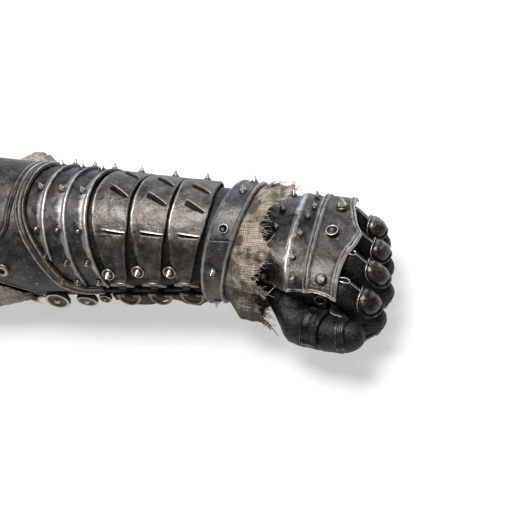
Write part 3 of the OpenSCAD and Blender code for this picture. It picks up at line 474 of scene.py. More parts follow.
def burlap_finish(name, pale, stain_and_shade):
    """Burlap: warp and weft are two crossed waves on the flat cloth, 1.4 mm apart, bent a little by
    noise. Threads differ in colour, stains follow soft noise, and wear takes the stains away. Where
    the wear is lowered on the skirt's lower tail, the stain colour there is painted shade, and the
    gaps between the threads are darkened as painted shade."""
    material, tree = tree_of(name)
    coords = add(tree, "ShaderNodeTexCoord")
    place, flat = coords.outputs["Object"], coords.outputs["UV"]
    values = {"Vector": place, "Scale": 120.0, "Detail": 2.0}
    wobble = add(tree, "ShaderNodeTexNoise", values).outputs["Color"]
    moved = add(tree, "ShaderNodeMix", data_type="RGBA", blend_type="LINEAR_LIGHT")
    moved.inputs[0].default_value = 0.0007
    tree.links.new(flat, moved.inputs[6])
    tree.links.new(wobble, moved.inputs[7])
    cloth = moved.outputs[2]
    warp, weft = (add(tree, "ShaderNodeTexWave", {"Vector": cloth, "Scale": weave_scale},
                      bands_direction=way).outputs["Fac"] for way in "XY")
    weave = math(tree, "MAXIMUM", warp, weft)
    thread_a = noise(tree, cloth, 1, 2, 0.5, ((thread_scale, 60, 1), (0, 0, 0)))
    thread_b = noise(tree, cloth, 1, 2, 0.5, ((60, thread_scale, 1), (0, 0, 0)))
    uneven = times(tree, plus(tree, thread_a, thread_b), 0.5)
    stains = noise(tree, place, 62, 6, 0.72)
    wear = stored_wear_and_light(tree)
    colour = blend_colour(tree, ramp(tree, uneven, (0.38, 0), (0.62, 1)), darker(pale, 0.42), pale)
    # the stains, and on the skirt's lower tail painted shade
    soiled_and_shaded = minus(tree, plus(tree, ramp(tree, stains, (0.45, 0), (0.56, 1)), 0.26), wear)
    colour = blend_colour(tree, ramp(tree, soiled_and_shaded, (0.0, 0), (1.0, 1)), colour, stain_and_shade)
    # dark between the threads: painted shade in the gaps of the weave
    colour = blend_colour(tree, ramp(tree, weave, (0.2, 0.85), (0.55, 0)), colour, darker(stain_and_shade, 0.3))
    values = {"Base Color": colour, "Roughness": 0.92, "Sheen Weight": 0.1}
    principled(tree, values, weave, 0.8, 0.0009)
    return material


burlap = ("burlap", burlap_finish("burlap", (0.50, 0.415, 0.32), (0.050, 0.030, 0.019)))
print("burlap finish of", len(burlap[1].node_tree.nodes), "nodes")

# %% [markdown]
# ## Camera, floor and light
# The camera stands 1.25 m away, 52 degrees over the back of the hand, as in the photograph. A
# real studio would lay the piece on white paper under large soft boxes. The floor here is matt
# grey that also glows a little towards the camera, so that it looks white and still takes the
# shadow. One soft light from straight above gives the bands of sheen that run along the plates.
# %% Camera
turn, over, roll = np.radians([17.5, 52.0, 3.0])
camera_far, metres_per_pixel, frame_pixels, sensor = 1.25, 0.0007, 512, 36.0
aim_x, aim_low = 0.223, 0.0098
look = np.array([np.sin(turn), -np.cos(turn) * np.cos(over), np.cos(turn) * np.sin(over)])
right = np.array([np.cos(turn), np.sin(turn) * np.cos(over), -np.sin(turn) * np.sin(over)])
up = np.array([0, np.sin(over), np.cos(over)])
right, up = right * np.cos(roll) + up * np.sin(roll), up * np.cos(roll) - right * np.sin(roll)
aim = np.array([aim_x, 0, 0]) - up * aim_low
camera = bpy.data.objects.new("camera", bpy.data.cameras.new("camera"))
camera.data.sensor_width = sensor
camera.data.lens = sensor * (camera_far / metres_per_pixel) / frame_pixels
camera.data.clip_start, camera.data.clip_end = 0.05, 20
axes = np.eye(4)
axes[:3, :3] = np.stack([right, up, look], 1)
axes[:3, 3] = aim + look * camera_far
camera.matrix_world = Matrix(axes.tolist())
bpy.context.scene.collection.objects.link(camera)
bpy.context.scene.camera = camera
bpy.context.scene.view_settings.view_transform = "Standard"
print("camera at", np.round(axes[:3, 3], 3), "lens", round(camera.data.lens, 1))

# %% Floor
floor_z, floor_half, floor_glow = cad_box[0][2] - 0.0006, 3, 0.5
corners = [(x * floor_half, y * floor_half, floor_z) for x, y in ((-1, -1), (1, -1), (1, 1), (-1, 1))]
floor_mesh = bpy.data.meshes.new("floor")
floor_mesh.from_pydata(corners, [], [(0, 1, 2, 3)])
floor = bpy.data.objects.new("floor", floor_mesh)
bpy.context.scene.collection.objects.link(floor)
pale_floor, tree = tree_of("pale_floor")
rays = add(tree, "ShaderNodeLightPath").outputs
mirrored = math(tree, "MAXIMUM", rays["Is Glossy Ray"], rays["Is Transmission Ray"])
seen = math(tree, "MAXIMUM", rays["Is Camera Ray"], mirrored)
matte = add(tree, "ShaderNodeBsdfDiffuse", {"Color": (0.80, 0.80, 0.80, 1)})
glow = add(tree, "ShaderNodeEmission", {"Color": (1, 1, 1, 1), "Strength": 1.0})
glowing = times(tree, seen, floor_glow)
both = add(tree, "ShaderNodeMixShader", {0: glowing, 1: matte.outputs[0], 2: glow.outputs[0]})
add(tree, "ShaderNodeOutputMaterial", {0: both.outputs[0]})
floor_mesh.materials.append(pale_floor)
print("floor at", round(floor_z, 4))

# %% World and lights
world = bpy.data.worlds.new("studio")
bpy.context.scene.world = world
world.use_nodes = True
sky = world.node_tree.nodes["Background"].inputs
sky[0].default_value, sky[1].default_value = (0.80, 0.84, 0.90, 1), 0.20


def soft_light(name, place, target, size, watts, colour=(1, 1, 1)):
    """A square soft box that faces its target."""
    lamp = bpy.data.lights.new(name, "AREA")
    lamp.shape, lamp.size, lamp.energy, lamp.color = "SQUARE", size, watts, colour
    holder = bpy.data.objects.new(name, lamp)
    holder.location = place
    holder.rotation_euler = (Vector(target) - Vector(place)).to_track_quat("-Z", "Y").to_euler()
    bpy.context.scene.collection.objects.link(holder)


soft_light("key", (0.10, 0.02, 1.0), (0.17, 0, 0), 0.55, 17)
soft_light("front", (0.45, -1.1, 0.75), (0.2, 0, 0), 0.5, 1.6, (1.0, 0.96, 0.92))
soft_light("rim", (0.2, 0.9, 0.35), (0.18, 0, 0.02), 0.7, 5, (0.76, 0.87, 1.0))

# %% [markdown]
# ## The arm
# A gauntlet's forearm is a cone, so nothing on it is flat. Everything is therefore placed by the
# distance x from the rear opening and the angle a round the arm, in degrees from the top towards
# the thumb side, at a height over the leather. Bending flat plates with a modifier would be
# another way, but this one keeps every edge where it was measured.
# %% Arm surface
mouth_outer, wrist_r, arm_len = 50.5, 36.7, 206.0
arm_slope = (mouth_outer - wrist_r) / arm_len


def arm_r(x):
    """Outer radius of the leather cone: it falls evenly from the mouth to the wrist."""
    return mouth_outer - arm_slope * x


def arm(x, a, h):
    """A point on the arm: at x along it, turned by a from the top, at the radius of the cone + h."""
    x, a, h = np.broadcast_arrays(x, np.radians(a), h)
    r = arm_r(x) + h
    return np.stack([x, -r * np.sin(a), r * np.cos(a)], -1)


def on_arm(places):
    """Feet and outward directions for [x, angle, height] on the arm."""
    x, a, h = np.array(places, float).T
    r = np.radians(a)
    return arm(x, a, h), np.stack([0 * r, -np.sin(r), np.cos(r)], 1)


print("arm radius", arm_r(0), "to", arm_r(arm_len))

# %% Stations across a plate
bead_steps = [0, 0.12, 0.35, 0.7, 1.1, 1.5, 1.9, 2.3, 2.7, 3.1, 3.6, 4.2, 5.0]
plain_steps = [0, 0.12, 0.35, 0.8, 1.6]
plate_wall = 1.15


def across(rear, front, near_rear, near_front, middle):
    """Stations across a band from its rear to its front edge: fixed distances near each edge and
    even shares between. Gives the place, the distance to the rear edge and the one to the front."""
    near_rear, near_front = np.array(near_rear), np.array(near_front)
    between = mix(rear + near_rear[-1], front - near_front[-1], np.linspace(0, 1, middle))
    x = np.concatenate([rear + near_rear[:-1], between, front - near_front[-2::-1]], 1)
    return x, x - rear, front - x


def arm_plate(name, x, a, top, underside, finish, stands_for, wear):
    """A plate on the arm between two heights over the leather."""
    shell(name, arm(x, a, top), arm(x, a, underside), "vambrace", finish, [stands_for], wear)


def dented(x, a, size, seed):
    """Hammered dents: noise as wide as a fingertip, plus noise of half its width and 0.4 its size."""
    return size * grain(x / 9, a / 10, seed) + 0.4 * size * grain(x / 4, a / 5, seed + 1)


print("a beaded edge has", len(bead_steps), "stations, a plain one", len(plain_steps))

# %% [markdown]
# ## Sleeve
# The sleeve is one piece of black leather, slit along the lacing, with a tongue behind the slit.
# A cone cut with a boolean would leave a messy edge. A grid that simply has no faces in the slit,
# given a wall by Solidify, has clean edges and even leather.
# %% Sleeve and tongue
slot_low, slot_high, slot_from, sleeve_wall = 94, 106, 92, 2.9
sleeve_x = np.linspace(0, arm_len, 110)


def sleeve_piece(name, a, x, h, replaces=()):
    """Part of the cone at the height h, with its wall inwards."""
    points = arm(x, a, h)
    faces = quads(*points.shape[:2])[:, ::-1]
    thicken(make(name, points, faces, "vambrace", black_leather, replaces), sleeve_wall)


sleeve_a = np.concatenate([np.linspace(slot_high, 180, 26), np.linspace(180, 360 + slot_low, 92)[1:]])
a, x = grid(sleeve_a, sleeve_x)
sleeve_piece("sleeve_leather", a, x, -0.05 + 0.05 * grain(x / 7, a / 9, 3), ["sleeve"])
a, x = grid(np.linspace(slot_low, slot_high, 5), sleeve_x[sleeve_x <= slot_from])
sleeve_piece("sleeve_leather_rear", a, x, -0.05)
a, x = grid(np.linspace(85, 115, 18), np.linspace(85, 196.4, 60))
depth = -4.3 + 0.35 * grain(x / 6, a / 6, 5)
shell("tongue_leather", arm(x, a, depth + 1.3), arm(x, a, depth), "vambrace", brown_leather, ["tongue"])
print("sleeve of", len(sleeve_x), "stations and tongue made")

# %% [markdown]
# ## Rear plates
# The two rear plates are rolled sheet, 1.2 mm thick, with a beaded edge that a smith would hammer
# over a wire. They could be carved from a thick shell. Here a plate is its top surface and the
# same surface one thickness lower, and the bead is a ridge at a fixed distance from the edge, so
# that it follows the edge wherever that goes.
# %% Elbow plate and under plate
far_edge, border_w, gap = -108.0, 8.0, 0.3
lame_x, lame_pitch, lame_tuck, lame_lean = 81.0, 15.5, 6.0, 14.0
border_offsets = [(11, far_edge - 4), (-1, -93), (-10, -68), (-15, -43), (-18, -18), (-19, 8), (-17, 26),
                  (-11, 43), (-3, 59), (5, 75), (13, 89), (25, 97), (39, 97)]
border_path = np.array([[lame_x + p, a] for p, a in border_offsets])
border_edge = [(a, x) for x, a in border_path[:11]]
border_turn_a = border_edge[-1][0]
plate_foot = 2.55
elbow_len, elbow_low, elbow_far = 62.0, 80.0, -55.0
elbow_turn = elbow_far + 36
hem_a0, hem_rate, under_low = 60.0, 0.63, 102.0


def elbow_front(a):
    """Front edge of the elbow plate: straight over the top, then swept back towards the thumb side
    by a power of the share of the way round."""
    sweep = np.maximum(0, (a - elbow_turn) / (elbow_low - elbow_turn)) ** 3.5
    return np.minimum(table(border_edge, a) - border_w / 2 - gap, elbow_len + 1) - (elbow_len - 8) * sweep


a = column(elbow_far, elbow_low, 150)
x, dr, df = across(0 * a, elbow_front(a), plain_steps, bead_steps, 26)
h = 3.7 + 1.5 * ridge(df, 2.0, 0.95) - lip(df) - lip((a - elbow_far) * 0.85) + dented(x, a, 0.12, 11)
wear = 0.75 * ridge(df, 2.0, 0.7) + 0.35 * ridge(df, 0.1, 0.4)
arm_plate("elbow_plate_steel", x, a, h, np.minimum(h - 1.1, plate_foot), blackened_steel, "elbow_plate", wear)

a = column(elbow_far, under_low, 170)
front = table(border_edge, np.minimum(a, border_turn_a)) - 1 + np.maximum(0, a - border_turn_a) * 1.1
x, dr, df = across(np.maximum(0, (a - hem_a0) / hem_rate), front, bead_steps, plain_steps, 26)
hem = ridge(dr, 1.4, 0.7) * ease(a, 70, 77)
h = 2.1 + 0.8 * hem - lip(dr) + dented(x, a, 0.1, 13)
wear = 0.8 * ridge(dr, 1.4, 0.6) * ease(a, 70, 77)
arm_plate("under_plate_steel", x, a, h, h - plate_wall, blackened_steel, "under_plate", wear)
print("rear plates made, the elbow plate", round(float(elbow_front(0.0)), 1), "mm long on top")

# %% [markdown]
# ## Border
# A band with two ridges frames the lames and turns down beside the lacing. It could be a curve
# with a bevel object. Carried along the path by its own direction, it also gives the line on
# which the lames start.
# %% Border
half_steps = np.array([0.3, 0.9, 1.4, 1.8, 2.2, 2.6, 3.0, 3.4, 3.7, 3.9, border_w / 2])
border_ridge = 2.6


def border_grid(u, s):
    """Place and angle of points at a distance s to the rear side of the border's middle line. The
    side is square to the step from just before u to just after it."""
    p = along_path(border_path, u)
    after = along_path(border_path, np.minimum(u + 0.05, len(border_path) - 1))
    before = along_path(border_path, np.maximum(u - 0.05, 0))
    deg = 180 / np.pi / arm_r(p[:, 0])
    ahead = np.stack([after[:, 0] - before[:, 0], (after[:, 1] - before[:, 1]) / deg], 1)
    side = unit(np.stack([-ahead[:, 1], ahead[:, 0]], 1))
    return p[:, :1] + side[:, :1] * s, p[:, 1:] + side[:, 1:] * s * deg[:, None]


u = np.linspace(0, len(border_path) - 1, 220)
s = np.concatenate([-half_steps[::-1], half_steps])
x, a = border_grid(u, s)
h = 3.7 + 1.4 * ridge(s, -border_ridge, 0.95) + 1.5 * ridge(s, border_ridge, 0.95)
h = h - lip(border_w / 2 - np.abs(s), r=0.6) + 0.15 * grain(u * 2, u * 0, 17)[:, None]
wear = 0 * x + 0.8 * ridge(s, -border_ridge, 0.7) + 0.95 * ridge(s, border_ridge, 0.7)
arm_plate("border_steel_strip", x, a, h, plate_foot, border_steel, "border_band", wear)
inside_x, inside_a = border_grid(np.arange(0, 11.5, 0.5), -border_w / 2 - gap)
border_inside = list(zip(inside_a[:, 0], inside_x[:, 0]))
print("border made,", len(u), "sections")

# %% [markdown]
# ## Lames
# Lames are narrow strips that are shingled like roof tiles, so that the arm can bend. Each rises
# towards its front edge, ends in a rounded bead that catches the light, and covers the low rear of
# the next. Copies of one strip would not fit the cone, so a loop works each one out in place.
# %% Lames
lame_ends = [63.0, 89.0, 91.0]


def lame_front(k, a):
    """Front edge of lame k: it leans forward round the side of the arm, by 1 - cos a."""
    return lame_x + (k - 1) * lame_pitch + lame_lean * (1 - np.cos(np.radians(a)))


for k, end_a in enumerate(lame_ends, 1):
    a = column(far_edge, end_a, 190)
    rear = np.maximum(table(border_inside, a), 0 if k == 1 else lame_front(k - 1, a) - lame_tuck)
    x, dr, df = across(rear, lame_front(k, a), plain_steps, bead_steps, 16)
    share = dr / (dr + df)
    h = 2.0 + 2.1 * np.clip(share * 1.05, 0, 1) + 0.95 * ridge(df, 1.5, 1.2)
    h = h - lip(df, r=0.7) - lip(dr) + dented(x, a, 0.13, 20 + k)
    bead_wear = np.minimum(0.95, 1.1 * ridge(df, 1.7, 1.7) + 0.45 * ridge(df, 3.8, 2.2))
    # The bead's wear is real. Its rise towards about 27 degrees round the arm, and the pale band over the
    # middle of each lame between -26 and 60 degrees, are painted sheen where the light from above falls.
    wear = bead_wear * (0.45 + 0.55 * hump(a, -40, 95)) + 0.34 * ease(share, 0.1, 0.8) * hump(a, -26, 60)
    arm_plate(f"lame_{k}_steel", x, a, h, h - plate_wall, blackened_steel, f"lame_{k}", wear)
print(len(lame_ends), "lames made")

# %% [markdown]
# ## Scale plates
# Three brown plates are wide over the top and narrow like tongues at the lacing. Slanted bars
# stand on them like half open slats, with a slot in shadow below each. Cutting real slots would
# need booleans. Here a shallow hollow is pressed beside each bar and darkened as painted shade for
# the shadow in the slot.
# %% Scale plates
zone_from, zone_to, scale_gap, closure_a = 112.0, 199.0, 2.4, 86.4
scale_w = (zone_to - zone_from - 3 * scale_gap) / 3
scale_leans = [8, 3, -5]
scale_narrow = [(far_edge, 0.5), (-80, 0.72), (-45, 0.96), (-20, 1), (25, 1), (48, 0.78), (70, 0.55),
                (closure_a, 0.34)]
scale_steps, scale_h, scale_end = [0, 0.1, 0.3, 0.7, 1.2], 4.15, 5
Bar = namedtuple("Bar", "rear_a front_a later_a hollow_w")
bars = [Bar(-40, -26, 7, 1.2), Bar(-12, 1, 5.3, 3.2), Bar(34, 36, 0, 1.0)]
bar_from, bar_to = -0.4, 0.86
# share of a bar at which it crosses the middle line, rounded: -bar_from / (bar_to - bar_from)
bar_middle = 0.317


def scale_mid(k, a):
    """Middle line of scale plate k, which leans with a power of 1 - cos a."""
    straight = zone_from + scale_gap * 1.2 + (k - 0.5) * scale_w + (k - 1) * scale_gap
    return straight + scale_leans[k - 1] * (1 - np.cos(np.radians(a))) ** 0.7


def scale_half(a):
    """Half width of a scale plate: a curve through its widths, times a quarter circle at each end."""
    past_tip, past_tail = a - (closure_a - scale_end), far_edge + scale_end - a
    tip, tail = (np.sqrt(np.clip(1 - (past.clip(0) / 5.05) ** 2, 0.02, 1)) for past in (past_tip, past_tail))
    return table(scale_narrow, a) * scale_w / 2 * tip * tail


def scale_top(k, a, x):
    """Height of a scale plate without its bead: highest on the middle line, less 0.55 t^2."""
    return scale_h - 0.55 * ((x - scale_mid(k, a)) / (scale_w / 2)) ** 2


def bar_line(k, bar, u):
    """Place and angle along a bar of plate k; each later plate has the bar a little further round."""
    a = mix(bar.rear_a, bar.front_a, u) + (k - 1) * bar.later_a
    return scale_mid(k, a) + mix(bar_from, bar_to, u) * scale_w / 2, a


def hollow_beside(k, bar, x, a):
    """1 in the hollow below a bar, 0 outside it. Four rounds find the bar's angle at x, because the
    bar's place depends on its angle in turn."""
    bar_a = 0 * x + bar.front_a + (k - 1) * bar.later_a
    for _ in range(4):
        u = np.clip((x - scale_mid(k, bar_a)) / (scale_w / 2) / (bar_to - bar_from) + bar_middle, 0, 1)
        bar_x, bar_a = bar_line(k, bar, u)
    below = (a - bar_a) * 0.77
    deep = 0.8 + bar.hollow_w * (1 - u)
    round_it = ease(below, 0.1, 0.9) * (1 - ease(below, deep, deep + 1.8))
    return round_it * (np.abs(x - bar_x) < 0.7) * ease(u, 0, 0.12) * (1 - ease(u, 0.8, 1.0))


for k in (1, 2, 3):
    a = column(far_edge, closure_a, 230)
    mid, half = scale_mid(k, a), scale_half(a)
    x, dr, df = across(mid - half, mid + half, scale_steps, scale_steps, 36)
    edge = np.minimum(dr, df)
    h = scale_top(k, a, x) - lip(edge, r=0.6) + 0.25 * ridge(edge, 1.3, 0.8) + dented(x, a, 0.22, 30 + k)
    # the hollow beside each bar is pressed in, and further down it lowers the wear so that it turns dark:
    # painted shade for the shadow in the slot
    hollow = np.max([hollow_beside(k, bar, x, a) for bar in bars], 0)
    h = h - 0.9 * hollow
    # the rear rim is worn bright, and its rise towards the top of the arm is a painted rim highlight
    rear_wear_and_highlight = ridge(dr, 1.0, 0.9) * (0.45 + 0.4 * hump(a, -50, 60))
    # from 34 degrees on the plate darkens towards its tips at the lacing: painted shade
    wear = np.clip(rear_wear_and_highlight + 0.3 * ridge(df, 0.9, 0.8), 0, 1) - 1.3 * hollow - 0.22 * ease(a, 34, 52)
    underside = np.minimum(h - 0.4, 2.6)
    arm_plate(f"scale_plate_{k}_steel", x, a, h, underside, browned_steel, f"scale_plate_{k}", wear)
print("scale plates made,", round(scale_w, 1), "mm wide")


# %% Bars on the scale plates
bar_section = [(-1.0, 0.0), (-0.75, 0.8), (-0.2, 1.75), (0.35, 1.9), (0.5, 1.7), (0.55, 0.0)]
bar_spread, bar_steps = 1.3, 14


def bar_solid(k, bar):
    """A raised slat: a thin wedge, square on its lower side, whose height swells as the 0.4th power
    of a sine along its length."""
    u = np.linspace(0, 1, bar_steps)
    x, a = bar_line(k, bar, u)
    swell = np.sin(np.pi * np.clip(u * 0.94 + 0.03, 0, 1)) ** 0.4
    foot = scale_top(k, a, x) - 0.1
    points = np.stack([arm(x, a + side * bar_spread, foot + h * swell) for side, h in bar_section], 1)
    return points, facing_out(points, bar_faces(bar_steps, len(bar_section)))


points, faces = joined([bar_solid(k, bar) for k in (1, 2, 3) for bar in bars])
make("louvre_bars", points, faces, "vambrace", bar_steel, ["plate_louvres"], np.full(len(points), 0.45))
print("bars made of", len(faces), "faces")

# %% [markdown]
# ## Lacing rings
# Six D-shaped rings swing on straps of brown leather. The rings are round wire in the frame
# already, so they keep their solids and only get a finish. A strap is a band swept round the bar,
# which hides the bar's ends as the real strap does.
# %% Rings and their loops
bar_angles, bar_h, loop_w, loop_hole, ring_step, last_ring = (90.5, 110), 3.0, 5.0, 1.4, 23.5, zone_to - 16.6
loop_section = np.array([(-0.5, 0.05), (-0.5, 0.8), (-0.43, 1.1), (-0.24, 1.2),
                         (0.24, 1.2), (0.43, 1.1), (0.5, 0.8), (0.5, 0.05)])
loop_turns = 28
for k in range(1, 7):
    nodes[f"d_ring_{k}"].data.materials.clear()
    nodes[f"d_ring_{k}"].data.materials.append(ring_iron[1])


def ring_loop(x, a):
    """A strap round a bar: middle + along + r (out cos q + side sin q), where r is the hole and the
    leather round it, a third thicker towards the arm, where the strap's ends are let in."""
    q = circle(loop_turns)[:, None]
    along, wall = loop_section.T * np.array([[loop_w], [1]])
    foot = ease(-np.cos(q), 0.55, 0.95) * 0.35
    r = loop_hole + wall * (1 + foot)
    middle, out = (v[0] for v in on_arm([[x, a, bar_h]]))
    side = np.cross([1, 0, 0], out)
    points = middle + np.array([1, 0, 0]) * along[None, :, None]
    points = points + (r * np.cos(q))[..., None] * out + (r * np.sin(q))[..., None] * side
    return points, facing_out(points, quads(loop_turns, len(loop_section), True, True))


ring_places = [last_ring - k * ring_step for k in range(3)]
points, faces = joined([ring_loop(x, a) for x in ring_places for a in bar_angles])
make("ring_loops_leather", points, faces, "vambrace", brown_leather, ["ring_clips"])
print("rings and loops at", [round(x, 1) for x in ring_places])

# %% [markdown]
# ## Cuff
# The cuff is a hoop in two halves with a seam on the thumb side, and both of its edges are rolled.
# A ring with a bevel would be the same width all round. As a band between two leaning edges it is
# wide over the hand and narrow below, like the real one.
# %% Cuff
cuff_h, cuff_w, seam_a, cuff_wall = 4.6, 20.0, 39.0, 1.2
cuff_rear = arm_len + 1


def cuff_left(a):
    """Rear edge of the cuff, which leans round the wrist by 1 - cos a and sin a."""
    r = np.radians(a)
    return cuff_rear - 4.6 * (1 - np.cos(r)) - 9 * np.sin(r)


def cuff_right(a):
    """Front edge of the cuff, which leans a little less."""
    r = np.radians(a)
    return cuff_rear + cuff_w - 10 * (1 - np.cos(r)) - 7 * np.sin(r)


for name, low, high in (("cuff_upper", seam_a - 180 + gap, seam_a - gap),
                        ("cuff_lower", seam_a + gap, seam_a + 180 - gap)):
    a = column(low, high, 170)
    x, dr, df = across(cuff_left(a), cuff_right(a), bead_steps, bead_steps, 14)
    to_seam = np.minimum(a - low, high - a) * 0.72
    h = cuff_h + cuff_wall + 1.35 * ridge(dr, 1.5, 0.8) + 1.6 * ridge(df, 1.8, 0.9)
    h = h - lip(dr, r=0.6) - lip(df, r=0.6) - 0.25 * (1 - ease(to_seam, 0, 0.6)) + dented(x, a, 0.12, 41)
    # The rolled rims are worn bright; their rise towards 25 degrees round the wrist is painted highlight
    # where the light from above falls.
    wear = (0.95 * ridge(dr, 1.5, 1.5) + 1.05 * ridge(df, 1.8, 1.6)) * (0.55 + 0.45 * hump(a, -60, 110))
    arm_plate(f"{name}_steel", x, a, h, cuff_h, blackened_steel, name, wear)
print("cuff made,", round(float(cuff_right(0) - cuff_left(0)), 1), "mm wide on top")

# %% [markdown]
# ## Lacing flap
# A strip of brown leather is bunched under the rings. Cloth simulation could fold it, but it would
# not come out the same each time. The folds here are a slanted wave on a hump, with some noise.
# %% Flap
flap_low, flap_high = 112, 158
a, x = grid(np.linspace(116, flap_high, 50), np.linspace(121, 190, 90))
bunch = hump(a, flap_low, flap_high)
fold = 0.5 + 6.5 * bunch * (0.72 + 0.28 * np.sin(np.radians(9 * x + 2 * a)))
fold = fold + 0.7 * bunch * (grain(x / 5 + a / 14, a / 6, 51) - 0.2) * 1.6
top = arm(x, a, gap + 1 + np.maximum(fold, 0.2))
shell("flap_leather", top, arm(x, a, gap), "vambrace", brown_leather, ["closure_flap"])
print("flap made, folds up to", round(float(fold.max()), 1), "mm")

# %% [markdown]
# ## Turned fittings
# Spikes, domes, studs and bosses are turned on a lathe on the real gauntlet, and so they are here:
# a profile is swept round, once for each place, square to the surface that it stands on. The
# Screw modifier does the same for one piece, but one array can hold all pieces of a kind.
# A profile has rows of radius, height and wear.
# %% Lathe
def lathe(name, profile, feet, out, finish, body="vambrace", replaces=(), scale=1.0, turns=28):
    """Turned pieces from one profile. feet and out are the foot and direction of each piece, and
    a point is foot + radius (T cos a + B sin a) + height out, with T and B square to out."""
    radius, height, worn = np.array(profile, float).T
    out = unit(np.asarray(out, float))
    t = unit(np.cross(out, np.where(np.abs(out[:, :1]) > 0.9, [0, 1, 0], [1, 0, 0])))
    b = np.cross(out, t)
    a = circle(turns)[:, None]
    ring = t[:, None, None] * np.cos(a) + b[:, None, None] * np.sin(a)
    sweep = ring * radius[:, None, None] + out[:, None, None] * height[:, None, None]
    points = feet[:, None, None] + scale * sweep
    faces = [quads(len(radius), turns, False, True) + k * len(radius) * turns for k in range(len(feet))]
    wear = np.broadcast_to(worn[:, None], points.shape[:3])
    return make(name, points, np.concatenate(faces), body, finish, replaces, wear, sharp=50)


spike = [[2.75, 0, 0], [2.75, 0.35, 0], [2.65, 0.55, 0.1], [2.4, 0.68, 0], [2.22, 0.75, -0.6],
         [2.12, 0.95, -0.2], [1.95, 1.35, 0.8], [1.35, 2.6, 1], [0.72, 4.0, 1], [0.34, 4.75, 1],
         [0.14, 5.05, 1], [0.01, 5.1, 1]]
dome = [[2.7, 0, 0], [2.7, 0.4, 0.1], [2.5, 0.62, 0.25], [2.15, 0.7, 0.1], [1.95, 0.62, -0.7],
        [1.85, 0.75, -0.5], [1.7, 1.35, 0.1], [1.3, 2.0, 0.3], [0.75, 2.4, 0.5], [0.01, 2.55, 0.6]]
boss = [[0.78, 0, 0], [0.95, 0.9, 0], [1.0, 1.5, 0.3], [0.99, 2.3, 0.7], [0.94, 2.62, 1], [0.88, 2.66, 1],
        [0.82, 2.5, 0.7], [0.74, 1.9, 0], [0.64, 1.45, -0.5], [0.5, 1.4, -0.2], [0.36, 1.6, 0],
        [0.26, 2.5, 0.4], [0.16, 3.4, 0.8], [0.08, 3.9, 1], [0.01, 4.0, 1]]
print("profiles ready, a spike is", spike[-1][1], "mm high")

# %% Spikes and domes on the lames
lame_spike_angles, dome_from_a = (-57, -38, 0, 37, 65, 85), 20


def lame_height(back):
    """Height of a lame's top at a distance behind its front bead."""
    return 2.0 + 2.2 * np.maximum(0, 1 - (back - 3) / (lame_pitch + lame_tuck))


def lame_places(low, high):
    """Places at the middle of each lame between two angles, a little further on where it is low."""
    height = lame_height(lame_pitch / 2 - 1.6) + 0.35
    pairs = [(k, a) for k, end_a in enumerate(lame_ends, 1) for a in lame_spike_angles if a < end_a - 3]
    return [[lame_front(k, a) - lame_pitch / 2 + (2.1 if a > 80 else 1.6), a, height]
            for k, a in pairs if low < a <= high]


spiked, domed = lame_places(-90, dome_from_a), lame_places(dome_from_a, 90)
lathe("lame_spikes_turned", spike, *on_arm(spiked), spike_steel, replaces=["lame_spikes"])
lathe("lame_domes_turned", dome, *on_arm(domed), spike_steel)
lathe("border_domes_turned", dome, *on_arm([[83.6, 59.5, 3.9], [93, 83, 5.0]]), border_steel, scale=0.95)
print(len(spiked), "spikes and", len(domed), "domes on the lames")

# %% Spikes and studs on the scale plates and the cuff
ridge_a, cuff_angles, pit_a = -58, (-48, -18, 69, 118, -95), 28
pit = [[3.0, 0, 0], [3.5, 0.4, 0.1], [3.7, 0.8, 0.3], [3.6, 1.15, 0.5], [3.2, 1.3, 0.5], [2.7, 1.2, 0.2],
       [2.3, 0.8, -0.5], [2.0, 0.3, -0.9], [1.2, 0.15, -1], [0.01, 0.1, -1]]
stud = [[4.2, 0, 0], [4.45, 0.4, 0], [4.5, 0.65, 0.2], [4.3, 1.05, 0.5], [3.9, 1.3, 0.6], [3.4, 1.28, 0.2],
        [3.05, 1.05, -0.5], [2.8, 0.8, -0.9], [2.6, 0.95, -0.3], [2.1, 2.1, 0.7], [1.2, 4.0, 1],
        [0.6, 5.3, 1], [0.3, 5.85, 1], [0.01, 6.0, 1]]
stud_seats = [(-0.48, 75, 4.0), (-0.7, 72, 3.9), (-0.7, 72, 3.9)]


def cuff_middle(a):
    """Half way between the cuff's edges."""
    return (cuff_left(a) + cuff_right(a)) / 2


ridge_rows = [[scale_mid(k, ridge_a), ridge_a, 4.2] for k in (1, 2, 3)]
lathe("ridge_spikes_turned", spike, *on_arm(ridge_rows), spike_steel, replaces=["ridge_spikes"])
cuff_rows = [[cuff_middle(a), a, 5.9] for a in cuff_angles]
lathe("cuff_spikes_turned", spike, *on_arm(cuff_rows), spike_steel, replaces=["cuff_spikes"], scale=1.1)
lathe("cuff_pit_turned", pit, *on_arm([[cuff_middle(pit_a), pit_a, 5.75]]), ("dark_plate", border_steel[1]))
stud_rows = [[scale_mid(k, a) + side * scale_w / 2, a, h] for k, (side, a, h) in enumerate(stud_seats, 1)]
lathe("closure_studs_turned", stud, *on_arm(stud_rows), spike_steel, replaces=["closure_studs"], scale=1.08)
print(len(ridge_rows), "ridge spikes,", len(cuff_rows), "cuff spikes and", len(stud_rows), "studs made")

